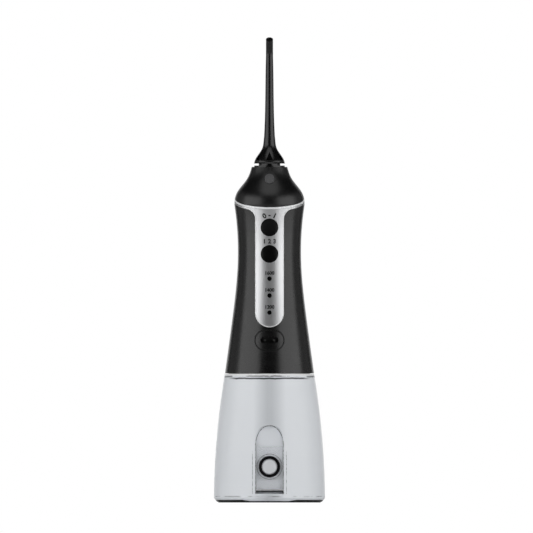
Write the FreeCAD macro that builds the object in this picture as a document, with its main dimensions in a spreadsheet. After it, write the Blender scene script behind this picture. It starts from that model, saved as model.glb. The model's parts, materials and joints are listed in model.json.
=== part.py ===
"""Cordless water flosser: a clear tank, a waisted grip with a silver panel, and a long jet nozzle.

The origin is the centre of the tank's base on the floor. +Z is up, -Y is the front, +X is the
right-hand side seen from the front. Every size is a cell of the spreadsheet "dims"; a formula
names the cells that it reads, and a sub-part follows them.
"""
import FreeCAD, Part
import math
import os
import re
import Sketcher

# ---------------------------------------------------------------------------- driving sizes
SIZES = {
    # tank
    "tank_foot": 0.5, "tank_low": 3.0, "tank_top": 83.0, "tank_base_rad": 35.8, "third_step": 0.2,
    "upper_step": 2.5, "tank_top_rad": 28.8, "tank_wall": 2.0, "tank_floor": 3.0, "rim_wall": 2.2,
    "mouth_depth": 9.0, "mouth_blend": 4.0, "foot_chamfer": 2.0, "floor_round": 2.5,
    "foot_ring_inset": 2.8, "foot_ring_wide": 4.0, "foot_ring_tall": 1.6,
    # filling door
    "recess_half": 9.05, "recess_sill": 5.1, "recess_spring": 36.5, "recess_head": 13.1,
    "arch_full": 0.62, "recess_deep": 4.2, "port_wall": 3.0, "pad_margin": 2.95, "pad_rise": 3.4,
    "door_side_gap": 0.25, "door_gap": 0.3, "door_sink": 0.35, "port_rad": 4.6, "port_up": 23.1,
    "plug_deep": 1.2, "plug_root": 0.5, "seal_mid_rad": 6.0, "seal_sec_rad": 1.0, "hinge_stand": 1.6,
    "hinge_rise": 2.3, "hinge_pin_rad": 0.8, "hinge_barrel_rad": 1.3, "pin_bite": 1.95,
    "run_gap": 0.05,
    # outline of the handle
    "rim_gap": 0.3, "rim_step": 0.05, "grip_tall": 108.9, "grip_rad_b": 27.04, "grip_rad_c": 23.74,
    "grip_rad_d": 19.27, "grip_rad_e": 20.82, "grip_rad_f": 22.65, "cap_tall": 24.2,
    "cap_rad_c": 22.0, "cap_rad_d": 13.72, "cap_rad_e": 12.22, "cap_rad_f": 11.5,
    "trim_over": 1.0, "grip_wall": 2.0, "cap_wall": 2.0, "lip_thick": 1.5, "lip_deep": 4.2, "bridge_low": 0.5,
    "bridge_high": 2.0,
    # tilted ring and front panel
    "ring_rise": 3.95, "ring_slope": 0.258, "ring_tall": 1.25, "band_tall": 1.25, "ring_line": 0.12,
    "ring_thick": 1.4, "panel_thick": 1.0, "panel_half": 9.25, "panel_long": 79.2,
    "flare_half": 17.7, "flare_drop": 9.8, "flare_top_drop": 1.6, "flare_bend": 3.0,
    "flare_reach": 4.0, "flare_end_lift": 0.9,
    # buttons and lamps
    "power_drop": 14.8, "key_pitch": 17.1, "button_rad": 5.4, "button_gap": 0.22,
    "panel_hole_gap": 0.1, "button_proud": 0.35, "flange_wide": 0.9, "flange_gap": 0.15,
    "waist_lift": 1.0, "flange_thick": 0.8, "press_travel": 0.6, "lamp_rise": 9.5,
    "lamp_pitch": 10.95, "lamp_rad": 1.35, "lamp_sink": 0.1, "lamp_back": 14.6,
    # charging inlet
    "inlet_drop": 8.4, "inlet_half": 9.35, "inlet_half_tall": 6.6, "inlet_gap": 0.05,
    "socket_half": 5.75, "socket_half_tall": 2.6, "socket_floor": 1.4, "inlet_deep": 10.84,
    "inlet_sink": 0.3, "notch_deep": 0.6, "notch_half": 1.3, "notch_over": 0.2, "pin_apart": 5.9,
    "pin_rad": 0.75, "pin_long": 6.4, "pin_tail": 1.2, "socket_wall": 1.1,
    # base plate and its screws
    "plate_thick": 2.7, "plate_gap": 0.65, "spigot_deep": 7.3, "spigot_gap": 0.3,
    "spigot_wall": 2.2, "seal_rise": 2.6, "tank_seal_rad": 0.9, "tank_seal_gap": 0.08,
    "nipple_deep": 6.0, "nipple_wall": 0.5, "screw_ring": 23.0, "screw_turn": 30.0,
    "screw_rad": 1.1, "screw_head_rad": 1.98, "screw_head_tall": 1.2, "screw_long": 8.5,
    "screw_sink_gap": 0.11, "boss_rad": 2.6, "boss_tall": 12.0, "boss_hole": 8.0,
    # water path
    "pump_left": -4.0, "pump_rad": 5.4, "bore_rad": 4.0, "block_tall": 4.0, "block_right": 6.0,
    "block_left": 2.5, "block_behind": 3.7, "block_before": 3.0, "piston_tall": 5.0,
    "piston_ring_sec": 0.7, "piston_ring_in": 0.8, "valve_rad": 2.2, "valve_gap": 0.1,
    "valve_thick": 0.4, "valve_floor": 1.0, "duct_rad": 1.3, "link_half": 0.91, "link_low": 0.4,
    "link_tall": 1.0, "tube_left": -13.0, "tube_back": 4.0, "tube_rad": 2.0, "tube_bore": 1.3,
    "tube_drop": 0.5, "tube_lead": 2.0, "tube_bend": 4.0, "tube_end_bend": 2.2, "suction_rad": 2.2,
    "strainer_rise": 2.5, "strainer_floor": 3.0, "strainer_rad": 3.8, "strainer_tall": 7.0,
    "strainer_slot": 0.8, "strainer_pitch": 1.6, "slot_tall": 1.4,
    # motor and drive
    "gear_rise": 22.0, "gear_module": 0.5, "gear_teeth": 36, "pinion_teeth": 10, "gear_gap": 0.4,
    "gear_thick": 2.8, "axle_rad": 1.0, "shaft_gap": 0.6, "motor_rad": 8.0, "motor_back": 11.0,
    "motor_long": 19.0, "motor_shell": 1.0, "rotor_gap": 0.5, "rotor_end_gap": 1.0,
    "motor_cap_thick": 2.0, "bracket_thick": 1.2, "bracket_left": 4.0, "bracket_right": 8.4,
    "bracket_down": 9.5, "bracket_up": 8.5, "motor_screw_rad": 0.9, "motor_screw_off": 5.0,
    "crank_throw": 2.5, "crank_pin_rad": 1.25, "crank_bite": 2.3, "yoke_thick": 2.0,
    "yoke_half": 4.1, "yoke_half_tall": 6.7, "yoke_rim": 1.5, "yoke_gap": 0.3, "rod_rad": 0.95,
    # chassis, battery and board
    "keypad_room": 5.6, "spine_thick": 2.0, "spine_half": 12.5, "spine_drop": 3.2, "cell_rad": 9.2,
    "cell_gap": 0.1, "cell_rise": 10.4, "cell_tall": 64.8, "tab_thick": 0.3, "tab_half": 3.0,
    "tab_long": 5.8, "shelf_thick": 1.2, "shelf_back": 6.0, "motor_shelf_left": 1.0,
    "motor_shelf_right": 14.0, "motor_shelf_thick": 2.5, "foot_left": 3.0, "foot_right": 12.0,
    "foot_deep": 5.0, "foot_tall": 2.0, "board_thick": 1.4, "board_half": 9.5, "board_drop": 9.5,
    "board_rise": 8.6, "switch_wide": 6.0, "switch_deep": 1.9, "knob_tall": 0.5, "knob_rad": 1.7,
    "pad_thick": 0.6, "pad_gap": 0.1, "pad_half_wide": 8.4, "pad_under": 8.0, "pad_over": 7.0,
    "led_rad": 1.5, "led_tall": 1.4,
    # nozzle seat, collar and latch
    "seat_rise": 4.3, "seat_tall": 11.5, "seat_gap": 0.4, "seat_wall": 2.4, "seat_floor": 1.5,
    "seat_disc_gap": 0.35, "seat_arm": 1.6, "seat_arm_half": 5.0, "leg_in": 4.0, "leg_out": 8.0,
    "leg_up": 0.5, "collar_drop": 6.4, "collar_skirt": 2.2, "collar_proud": 0.9,
    "collar_rad": 9.9, "collar_gap": 0.15, "slide_gap": 0.1, "latch_rise": 6.5,
    "latch_thick": 1.6, "latch_gap": 0.3, "latch_inset": 1.0, "latch_travel": 1.5,
    "latch_front": 11.6, "latch_back": 8.0, "latch_leg": 2.0, "release_drop": 7.5,
    "release_rad": 3.2, "release_gap": 0.12, "release_proud": 0.3, "spring_wire": 0.35,
    "spring_rad": 1.6, "spring_inset": 4.2, "spring_coils": 6, "spring_gap": 0.05,
    # nozzle
    "neck_tall": 1.3, "neck_rad": 7.0, "lip_tall": 1.3, "lip_rad": 10.2, "lip_slant": 0.4,
    "lip_edge": 0.8, "skirt_tall": 16.1, "skirt_rad_a": 9.7, "skirt_rad_b": 9.1,
    "skirt_rad_c": 3.4, "skirt_rad_d": 3.95, "jet_rise": 64.0, "jet_rad_a": 3.5, "jet_rad_b": 2.46,
    "jet_rad_c": 2.83, "jet_rad_d": 2.29, "stem_rad": 3.2, "stem_gap": 0.5, "groove_deep": 0.7,
    "groove_side": 0.2, "stem_seal_in": 0.25, "stem_seal_sec": 0.6, "duct_jet_rad": 1.0,
    "outlet_rad": 0.45, "bend_rad": 8.0, "tip_long": 7.5, "tip_lean": 35.0, "pocket_rise": 0.8,
    "pocket_tall": 5.5, "pocket_half": 2.3, "pocket_deep": 5.2, "pocket_count": 6,
}

# ---------------------------------------------------------------------------- sizes that follow
FOLLOWERS = {
    # tank and door
    "tank_third_rad": "tank_base_rad - third_step",
    "tank_upper_rad": "tank_base_rad - upper_step",
    "mouth_rad": "tank_top_rad - rim_wall",
    "foot_ring_out": "tank_base_rad - foot_ring_inset",
    "foot_ring_in": "foot_ring_out - foot_ring_wide",
    "recess_face": "tank_base_rad - recess_deep",
    "recess_low": "tank_foot + recess_sill",
    "recess_top": "recess_spring + recess_head",
    "pad_face": "recess_face - port_wall",
    "pad_half": "recess_half + pad_margin",
    "pad_top": "recess_top + pad_rise",
    "door_half": "recess_half - door_side_gap",
    "door_top": "recess_spring - door_gap",
    "plug_rad": "port_rad - door_gap",
    "hinge_out": "recess_face + hinge_stand",
    "hinge_up": "recess_low + hinge_rise",
    "hinge_half": "recess_half + pin_bite",
    # levels and radii of the handle
    "grip_base": "tank_top + rim_gap",
    "grip_top": "grip_base + grip_tall",
    "grip_rad_a": "tank_top_rad - rim_step",
    "cap_rad_b": "grip_rad_f",
    "cap_top": "grip_top + cap_tall",
    "ring_side_top": "grip_top + ring_rise",
    "waist_rad": "grip_rad_d + waist_lift",
    # panel, keys, lamps and inlet
    "panel_low": "grip_top - panel_long",
    "flare_up": "grip_top - flare_drop",
    "flare_top": "grip_top - flare_top_drop",
    "power_up": "grip_top - power_drop",
    "mode_up": "power_up - key_pitch",
    "lamp_up": "panel_low + lamp_rise",
    "button_hole_rad": "button_rad + button_gap",
    "flange_rad": "button_rad + flange_wide",
    "flange_front": "sqrt((waist_rad - grip_wall) ^ 2 - flange_rad ^ 2) - flange_gap",
    "inlet_up": "panel_low - inlet_drop",
    "inlet_back": "grip_rad_b - inlet_deep",
    "socket_deep": "inlet_back + socket_floor",
    "pin_front": "inlet_back + pin_long",
    # base, water path and drive
    "plate_top": "grip_base + plate_thick",
    "spigot_low": "grip_base - spigot_deep",
    "spigot_rad": "mouth_rad - spigot_gap",
    "tank_seal_up": "spigot_low + seal_rise",
    "boss_top": "plate_top + boss_tall",
    "strainer_low": "tank_foot + tank_floor + strainer_rise",
    "suction_low": "strainer_low + strainer_floor",
    "pump_low": "plate_top + block_tall",
    "gear_up": "pump_low + gear_rise",
    "pump_high": "gear_up - yoke_half_tall - yoke_rim - crank_throw - yoke_gap",
    "piston_mid": "pump_high - crank_throw - piston_tall / 2",
    "motor_front": "motor_back - motor_long",
    "gear_front": "motor_back + bracket_thick + gear_gap",
    "yoke_front": "gear_front + gear_thick + gear_gap",
    "pump_back": "yoke_front + yoke_thick / 2",
    "motor_side": "pump_left + gear_module * (gear_teeth + pinion_teeth) / 2",
    # chassis and board
    "spine_front": "flange_front - keypad_room",
    "spine_back": "spine_front - spine_thick",
    "spine_top": "grip_top - spine_drop",
    "cell_low": "gear_up + cell_rise",
    "board_face": "spine_front + board_thick",
    "board_low": "lamp_up - board_drop",
    "board_top": "power_up + board_rise",
    # head and nozzle
    "seat_low": "grip_top + seat_rise",
    "seat_top": "seat_low + seat_tall",
    "seat_bore": "stem_rad + seat_gap",
    "seat_rad": "seat_bore + seat_wall",
    "seal_out_rad": "stem_rad - stem_seal_in + stem_seal_sec",
    "latch_up": "seat_low + latch_rise",
    "latch_half": "seat_rad - latch_inset",
    "latch_slot": "seal_out_rad + slide_gap",
    "release_up": "cap_top - release_drop",
    "collar_low": "cap_top - collar_drop",
    "collar_top": "cap_top + collar_proud",
    "collar_bore": "seal_out_rad + slide_gap",
    "cap_hole": "collar_rad + collar_gap",
    "spring_seat": "cap_rad_c - grip_wall - lip_thick - spring_inset",
    "stem_low": "seat_low + seat_floor + stem_gap",
    "stem_seal_mid": "stem_rad - stem_seal_in",
    "groove_rad": "stem_rad - groove_deep",
    "lip_low": "collar_top + neck_tall",
    "skirt_low": "lip_low + lip_tall",
    "jet_low": "skirt_low + skirt_tall",
    "overall_tall": "jet_low + jet_rise",
    "pocket_low": "skirt_low + pocket_rise",
    "pocket_top": "pocket_low + pocket_tall",
}

doc = FreeCAD.newDocument("water_flosser")
dims = doc.addObject("Spreadsheet::Sheet", "dims")
for row, alias in enumerate([*SIZES, *FOLLOWERS], start=1):
    dims.set(f"A{row}", alias)
    dims.setAlias(f"B{row}", alias)
for row, amount in enumerate([*SIZES.values(), *("=" + formula for formula in FOLLOWERS.values())], start=1):
    dims.set(f"B{row}", str(amount))
doc.recompute()

PIECES = {}
Z_TO_Y = FreeCAD.Rotation(FreeCAD.Vector(1, 0, 0), -90)
Z_TO_X = FreeCAD.Rotation(FreeCAD.Vector(0, 1, 0), 90)
TURNS = {"z": FreeCAD.Rotation(), "y": Z_TO_Y, "x": Z_TO_X}
QUARTER_ARC = 0.5523  # control points of a curve that stands for a quarter circle
FAR = 40              # reach of a bar or prism that is trimmed by another shape
PINION_PHASE = 18     # degrees that turn the pinion's tooth into a gap of the gear
BOARD_BLOCKS = [      # name, left, right, low and high on the board, height off it
    ("control", "-4", "4", 35, 42, 1.1),
    ("charge", "-3", "3", 1.5, 5.5, 1.1),
    ("plug", "-7.5", "-3.5", 13, 21, 2.5),
]
BOARD_CAPACITOR = ("capacitor", "6", 25, "2.2", "3")  # name, across, up, radius, height off the board


# ---------------------------------------------------------------------------- helpers
def linked(formula):
    """The formula with every size name pointing at its cell, as other objects must write it."""
    return re.sub(r"\b[a-z]+(_[a-z]+)+\b", lambda name: "dims." + name.group(), str(formula))


def number(formula):
    """The value that a formula has now."""
    return float(dims.evalExpression(linked(formula)))


def bind(item, prop, formula):
    """Tie one property of an object to a formula."""
    item.setExpression(prop, linked(formula))


def keep(name, item):
    """Mark an object as a finished sub-part of the product."""
    item.Label = name
    PIECES[name] = item
    return item


def place(item, spot, axis="z"):
    """Set an object down at three formulas, with its own Z axis turned to the named one."""
    item.Placement = FreeCAD.Placement(FreeCAD.Vector(*[number(part) for part in spot]), TURNS[axis])
    for letter, part in zip("xyz", spot):
        bind(item, f"Placement.Base.{letter}", part)


def cylinder(name, radius, spot, length, axis="z"):
    """Round bar of the given radius that starts at spot and runs along the axis."""
    item = doc.addObject("Part::Cylinder", name)
    bind(item, "Radius", radius)
    bind(item, "Height", length)
    place(item, spot, axis)
    return item


def tube(name, radius, bore, spot, length, axis="z"):
    """Round tube."""
    return cut(name, cylinder(name + "_rod", radius, spot, length, axis),
               cylinder(name + "_hole", bore, spot, length, axis))


def box(name, low, high):
    """Block between two corners, each given as three formulas."""
    item = doc.addObject("Part::Box", name)
    for prop, start, end in zip(("Length", "Width", "Height"), low, high):
        bind(item, prop, f"({end}) - ({start})")
    place(item, low)
    return item


def torus(name, ring, section, spot, axis="z"):
    """O-ring around the axis."""
    item = doc.addObject("Part::Torus", name)
    bind(item, "Radius1", ring)
    bind(item, "Radius2", section)
    place(item, spot, axis)
    return item


def cut(name, base, *tools):
    """The base without the tools."""
    item = doc.addObject("Part::Cut", name)
    item.Base = base
    item.Tool = tools[0] if len(tools) == 1 else fuse(name + "_tools", *tools)
    return item


def fuse(name, *shapes):
    """Shapes joined into one."""
    item = doc.addObject("Part::MultiFuse", name)
    item.Shapes = list(shapes)
    return item


def common(name, first, second):
    """What two shapes share."""
    item = doc.addObject("Part::MultiCommon", name)
    item.Shapes = [first, second]
    return item


def new_body(name):
    """Empty PartDesign body."""
    return doc.addObject("PartDesign::Body", name)


def new_sketch(body, name, plane, offset="0"):
    """Empty sketch on one of the body's own origin planes, moved along the plane's normal."""
    sketch = body.newObject("Sketcher::SketchObject", name)
    support = [item for item in body.Origin.OriginFeatures if item.Role == plane][0]
    sketch.AttachmentSupport = [(support, "")]
    sketch.MapMode = "FlatFace"
    sketch.AttachmentOffset = FreeCAD.Placement(FreeCAD.Vector(0, 0, number(offset)), FreeCAD.Rotation())
    bind(sketch, "AttachmentOffset.Base.z", offset)
    return sketch


def hold_point(sketch, element, end, across, up):
    """Tie one point of a sketch to two formulas, measured from the sketch's origin."""
    for kind, formula in (("DistanceX", across), ("DistanceY", up)):
        row_index = sketch.addConstraint(Sketcher.Constraint(kind, -1, 1, element, end, number(formula)))
        bind(sketch, f"Constraints[{row_index}]", formula)


def add_curve(sketch, poles):
    """Smooth cubic curve through its control points, each tied to two formulas."""
    spots = [FreeCAD.Vector(number(across), number(up), 0) for across, up in poles]
    curve = sketch.addGeometry(Part.BSplineCurve(spots, None, None, False, 3, None, False), False)
    knobs = [sketch.addGeometry(Part.Circle(spot, FreeCAD.Vector(0, 0, 1), 1), True) for spot in spots]
    sketch.addConstraint(Sketcher.Constraint("Weight", knobs[0], 1.0))
    for index, knob in enumerate(knobs):
        if index:
            sketch.addConstraint(Sketcher.Constraint("Equal", knobs[0], knob))
        sketch.addConstraint(Sketcher.Constraint(
            "InternalAlignment:Sketcher::BSplineControlPoint", knob, 3, curve, index))
    for knob, (across, up) in zip(knobs, poles):
        hold_point(sketch, knob, 3, across, up)
    return curve


def draw(sketch, runs):
    """Closed outline. A run is a list of (across, up) formulas: two points are a straight line,
    and more are the control points of a curve. Each run starts where the one before it ends."""
    drawn = []
    for points in runs:
        spots = [FreeCAD.Vector(number(across), number(up), 0) for across, up in points]
        if len(points) == 2:
            drawn.append(sketch.addGeometry(Part.LineSegment(*spots), False))
        else:
            drawn.append(add_curve(sketch, points))
    for index, points in enumerate(runs):
        after = (index + 1) % len(runs)
        straight, straight_after = len(points) == 2, len(runs[after]) == 2
        if straight or straight_after:
            sketch.addConstraint(Sketcher.Constraint("Coincident", drawn[index], 2, drawn[after], 1))
        if straight and straight_after:
            hold_point(sketch, drawn[index], 2, *points[-1])
    return sketch


def polygon(corners):
    """The straight runs around a list of corners."""
    return [[first, second] for first, second in zip(corners, corners[1:] + corners[:1])]


def circle(sketch, radius, across="0", up="0"):
    """Circle tied to its centre and radius."""
    ring = sketch.addGeometry(
        Part.Circle(FreeCAD.Vector(number(across), number(up), 0), FreeCAD.Vector(0, 0, 1), number(radius)))
    hold_point(sketch, ring, 3, across, up)
    row_index = sketch.addConstraint(Sketcher.Constraint("Radius", ring, number(radius)))
    bind(sketch, f"Constraints[{row_index}]", radius)
    return sketch


def turned(body, name, runs, groove=False):
    """Revolve an outline, drawn as radius and height, about the body's own Z axis."""
    sketch = draw(new_sketch(body, name + "_outline", "XZ_Plane"), runs)
    feature = body.newObject("PartDesign::Groove" if groove else "PartDesign::Revolution", name)
    feature.Profile = sketch
    feature.ReferenceAxis = (sketch, ["V_Axis"])
    feature.Angle = 360
    return feature


def padded(body, name, sketch, length, both_ways=False, backwards=False, cutting=False):
    """Pad a sketch, or pocket it, by a length along its normal, both ways or backwards."""
    feature = body.newObject("PartDesign::Pocket" if cutting else "PartDesign::Pad", name)
    feature.Profile = sketch
    feature.Length = number(length)
    bind(feature, "Length", length)
    feature.Midplane = both_ways
    feature.Reversed = backwards
    return feature


def prism(name, plane, runs, length, both_ways=False, offset="0"):
    """Body that is one outline padded."""
    body = new_body(name)
    sketch = draw(new_sketch(body, name + "_outline", plane, offset), runs)
    padded(body, name + "_pad", sketch, length, both_ways)
    return body


def lathe(name, runs):
    """Body that is one outline revolved."""
    body = new_body(name)
    turned(body, name + "_turned", runs)
    return body


# ---------------------------------------------------------------------------- outlines
def spread(low, high, shares, radii):
    """Control points of an outline: radius formulas at shares of the height from low to high."""
    return [(radius, f"{low} + ({high} - {low}) * {share}") for share, radius in zip(shares, radii)]


def handle_outline(inset, base="grip_base", top="cap_top"):
    """Outline of the handle, moved inwards by an inset, between a base and a top level."""
    sixths = (0, 1 / 9, 1 / 3, 2 / 3, 8 / 9, 1)
    grip = spread("grip_base", "grip_top", sixths,
                  [f"grip_rad_{letter} - ({inset})" for letter in "abcdef"])
    crown = spread("grip_top", "cap_top", sixths,
                   [f"{name} - ({inset})" for name in ("grip_rad_f", "cap_rad_b", "cap_rad_c",
                                                       "cap_rad_d", "cap_rad_e", "cap_rad_f")])
    grip[0] = (grip[0][0], base)
    crown[-1] = (crown[-1][0], top)
    return [[("0", base), grip[0]], grip, crown, [crown[-1], ("0", top)], [("0", top), ("0", base)]]


def tank_outline(inset, low, top):
    """Outline of the tank, moved inwards by an inset."""
    side = spread("tank_low", "tank_top", (0, 1 / 3, 2 / 3, 1),
                  [f"{name} - ({inset})" for name in ("tank_base_rad", "tank_third_rad",
                                                      "tank_upper_rad", "tank_top_rad")])
    side[0] = (side[0][0], low)
    side[-1] = (side[-1][0], top)
    return side


def tilted_slab(name, low, high):
    """Everything between two parallel planes that dip towards the front; low and high are their
    levels on the axis."""
    corners = [(f"{side}{FAR}", f"({level}) {sign} ring_slope * {FAR}")
               for side, sign, level in (("-", "-", low), ("", "+", low), ("", "+", high), ("-", "-", high))]
    return prism(name, "YZ_Plane", polygon(corners), f"2 * {FAR}", both_ways=True)


# ---------------------------------------------------------------------------- tank
def make_tank():
    """Clear tank with a thick floor, a straight mouth and a sunk filling port in its front."""
    foot = ("tank_base_rad - foot_chamfer", "tank_foot")
    side = tank_outline("0", "tank_low", "tank_top")
    outer = lathe("tank_outer", [[("0", "tank_foot"), foot], [foot, side[0]], side,
                                 [side[-1], ("0", "tank_top")], [("0", "tank_top"), ("0", "tank_foot")]])
    floor = "tank_foot + tank_floor"
    over = "tank_top + trim_over"
    inner_side = tank_outline("tank_wall", "tank_low + tank_floor", "tank_top - mouth_depth - mouth_blend")
    start = ("tank_base_rad - tank_wall - floor_round", floor)
    hollow = lathe("tank_hollow", [
        [("0", floor), start], [start, inner_side[0]], inner_side,
        [inner_side[-1], ("mouth_rad", "tank_top - mouth_depth")],
        [("mouth_rad", "tank_top - mouth_depth"), ("mouth_rad", over)],
        [("mouth_rad", over), ("0", over)], [("0", over), ("0", floor)]])
    pad = box("port_pad", ("-pad_half", "-tank_base_rad - trim_over", floor),
              ("pad_half", "-pad_face", "pad_top"))
    cavity = cut("tank_cavity", hollow, pad)
    recess = prism("port_recess", "XZ_Plane", arch_runs("recess_half", "recess_low", "recess_spring",
                                                        "recess_top"), f"{FAR}", offset="recess_face")
    port = cylinder("filling_port", "port_rad", ("0", "-recess_face - trim_over", "port_up"),
                    "recess_face - pad_face + 3 * trim_over", "y")
    pin_hole = cylinder("hinge_pin_hole", "hinge_pin_rad", ("-hinge_half", "-hinge_out", "hinge_up"),
                        "2 * hinge_half", "x")
    ring_groove = tube("foot_groove", "foot_ring_out", "foot_ring_in", ("0", "0", "0"), "foot_ring_tall")
    keep("tank_shell", cut("tank_shell", outer, cavity, recess, port, pin_hole, ring_groove))
    keep("foot_ring", tube("foot_ring", "foot_ring_out", "foot_ring_in", ("0", "0", "0"), "foot_ring_tall"))
    keep("hinge_pin", cylinder("hinge_pin", "hinge_pin_rad", ("-hinge_half", "-hinge_out", "hinge_up"),
                               "2 * hinge_half", "x"))


def arch_runs(half, low, spring, top):
    """Upright slot outline with square feet and a tall rounded head."""
    shoulder = f"{spring} + ({top} - {spring}) * arch_full"
    head = [(f"-{half}", spring), (f"-{half}", shoulder), (f"-{half} * arch_full", top), ("0", top),
            (f"{half} * arch_full", top), (half, shoulder), (half, spring)]
    return [[(f"-{half}", low), (f"-{half}", spring)], head, [(half, spring), (half, low)],
            [(half, low), (f"-{half}", low)]]


def make_door():
    """Filling door: a flap in the recess, hinged at its foot, with a plug and an O-ring behind."""
    back = "recess_face + door_gap"
    corners = [("-door_half", "hinge_up"), ("door_half", "hinge_up"), ("door_half", "door_top"),
               ("-door_half", "door_top")]
    slab = prism("door_slab", "XZ_Plane", polygon(corners), f"{FAR}", offset=back)
    side = tank_outline("door_sink", "tank_low", "tank_top")
    skin = lathe("door_skin", [[("0", "tank_low"), side[0]], side, [side[-1], ("0", "tank_top")],
                               [("0", "tank_top"), ("0", "tank_low")]])
    flap = common("door_flap", slab, skin)
    barrel = cylinder("door_barrel", "hinge_barrel_rad", ("-door_half", "-hinge_out", "hinge_up"),
                      "2 * door_half", "x")
    plug = cylinder("door_plug", "plug_rad", ("0", f"-({back}) - plug_root", "port_up"),
                    "door_gap + plug_deep + plug_root", "y")
    bore = cylinder("door_bore", "hinge_pin_rad + run_gap", ("-door_half", "-hinge_out", "hinge_up"),
                    "2 * door_half", "x")
    ring_spot = ("0", "-recess_face - seal_sec_rad - run_gap", "port_up")
    groove = torus("door_groove", "seal_mid_rad", "seal_sec_rad", ring_spot, "y")
    body = fuse("door_solid", flap, barrel, plug)
    keep("fill_door", cut("fill_door", body, bore, groove))
    keep("door_seal", torus("door_seal", "seal_mid_rad", "seal_sec_rad", ring_spot, "y"))


# ---------------------------------------------------------------------------- handle casing
def panel_runs():
    """Outline of the front panel: straight sides, a round foot, and a head that flares out."""
    foot = "panel_low + panel_half"
    left = [("-panel_half", "flare_up"), ("-panel_half", "flare_top - flare_bend"),
            ("-flare_half + flare_reach", "flare_top - flare_end_lift"), ("-flare_half", "flare_top")]
    right = [(f"-({across})", up) for across, up in reversed(left)]
    reach = f"panel_half * {QUARTER_ARC}"
    foot_right = [("panel_half", foot), ("panel_half", f"{foot} - {reach}"), (reach, "panel_low"),
                  ("0", "panel_low")]
    foot_left = [("0", "panel_low"), (f"-{reach}", "panel_low"), ("-panel_half", f"{foot} - {reach}"),
                 ("-panel_half", foot)]
    lid = "ring_side_top"
    return [[("-panel_half", foot), ("-panel_half", "flare_up")], left,
            [("-flare_half", "flare_top"), ("-flare_half", lid)], [("-flare_half", lid), ("flare_half", lid)],
            [("flare_half", lid), ("flare_half", "flare_top")], right,
            [("panel_half", "flare_up"), ("panel_half", foot)], foot_right, foot_left]


def skin_between(name, inner, outer="0", base="grip_base", top="cap_top"):
    """Layer of the handle between two insets."""
    body = new_body(name)
    turned(body, name + "_outer", handle_outline(outer))
    turned(body, name + "_inner", handle_outline(inner, base, top), groove=True)
    return body


def button_holes(name, radius):
    """Two round bars along Y, through the front wall, where the buttons are."""
    return [cylinder(f"{name}_{place_name}", radius, ("0", f"-{FAR}", level), f"{FAR}", "y")
            for place_name, level in (("power", "power_up"), ("mode", "mode_up"))]


def lamp_holes(name, radius):
    """Three round bars along Y, through the front wall, where the lamps are."""
    return [cylinder(f"{name}_{step}", radius, ("0", f"-{FAR}", f"lamp_up + lamp_pitch * {step}"),
                     f"{FAR}", "y") for step in range(3)]


def slot_runs(half, half_tall, level):
    """Lying slot outline with round ends."""
    bulge = f"({half_tall}) * {QUARTER_ARC}"
    flat = f"({half}) - ({half_tall})"
    up, down = f"{level} + {half_tall}", f"{level} - {half_tall}"
    return [[(f"-({flat})", up), (flat, up)],
            [(flat, up), (f"{flat} + {bulge}", up), (half, f"{level} + {bulge}"), (half, level)],
            [(half, level), (half, f"{level} - {bulge}"), (f"{flat} + {bulge}", down), (flat, down)],
            [(flat, down), (f"-({flat})", down)],
            [(f"-({flat})", down), (f"-({flat}) - {bulge}", down), (f"-({half})", f"{level} - {bulge}"),
             (f"-({half})", level)],
            [(f"-({half})", level), (f"-({half})", f"{level} + {bulge}"), (f"-({flat}) - {bulge}", up),
             (f"-({flat})", up)]]


def screw_spots():
    """Angles of the four base screws."""
    return [f"screw_turn + {angle}" for angle in (0, 120, 180, 300)]


def at_angle(radius, angle):
    """Across and back formulas of a point on a circle about the axis."""
    return f"{radius} * cos(({angle}) * 1deg)", f"{radius} * sin(({angle}) * 1deg)"


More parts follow.
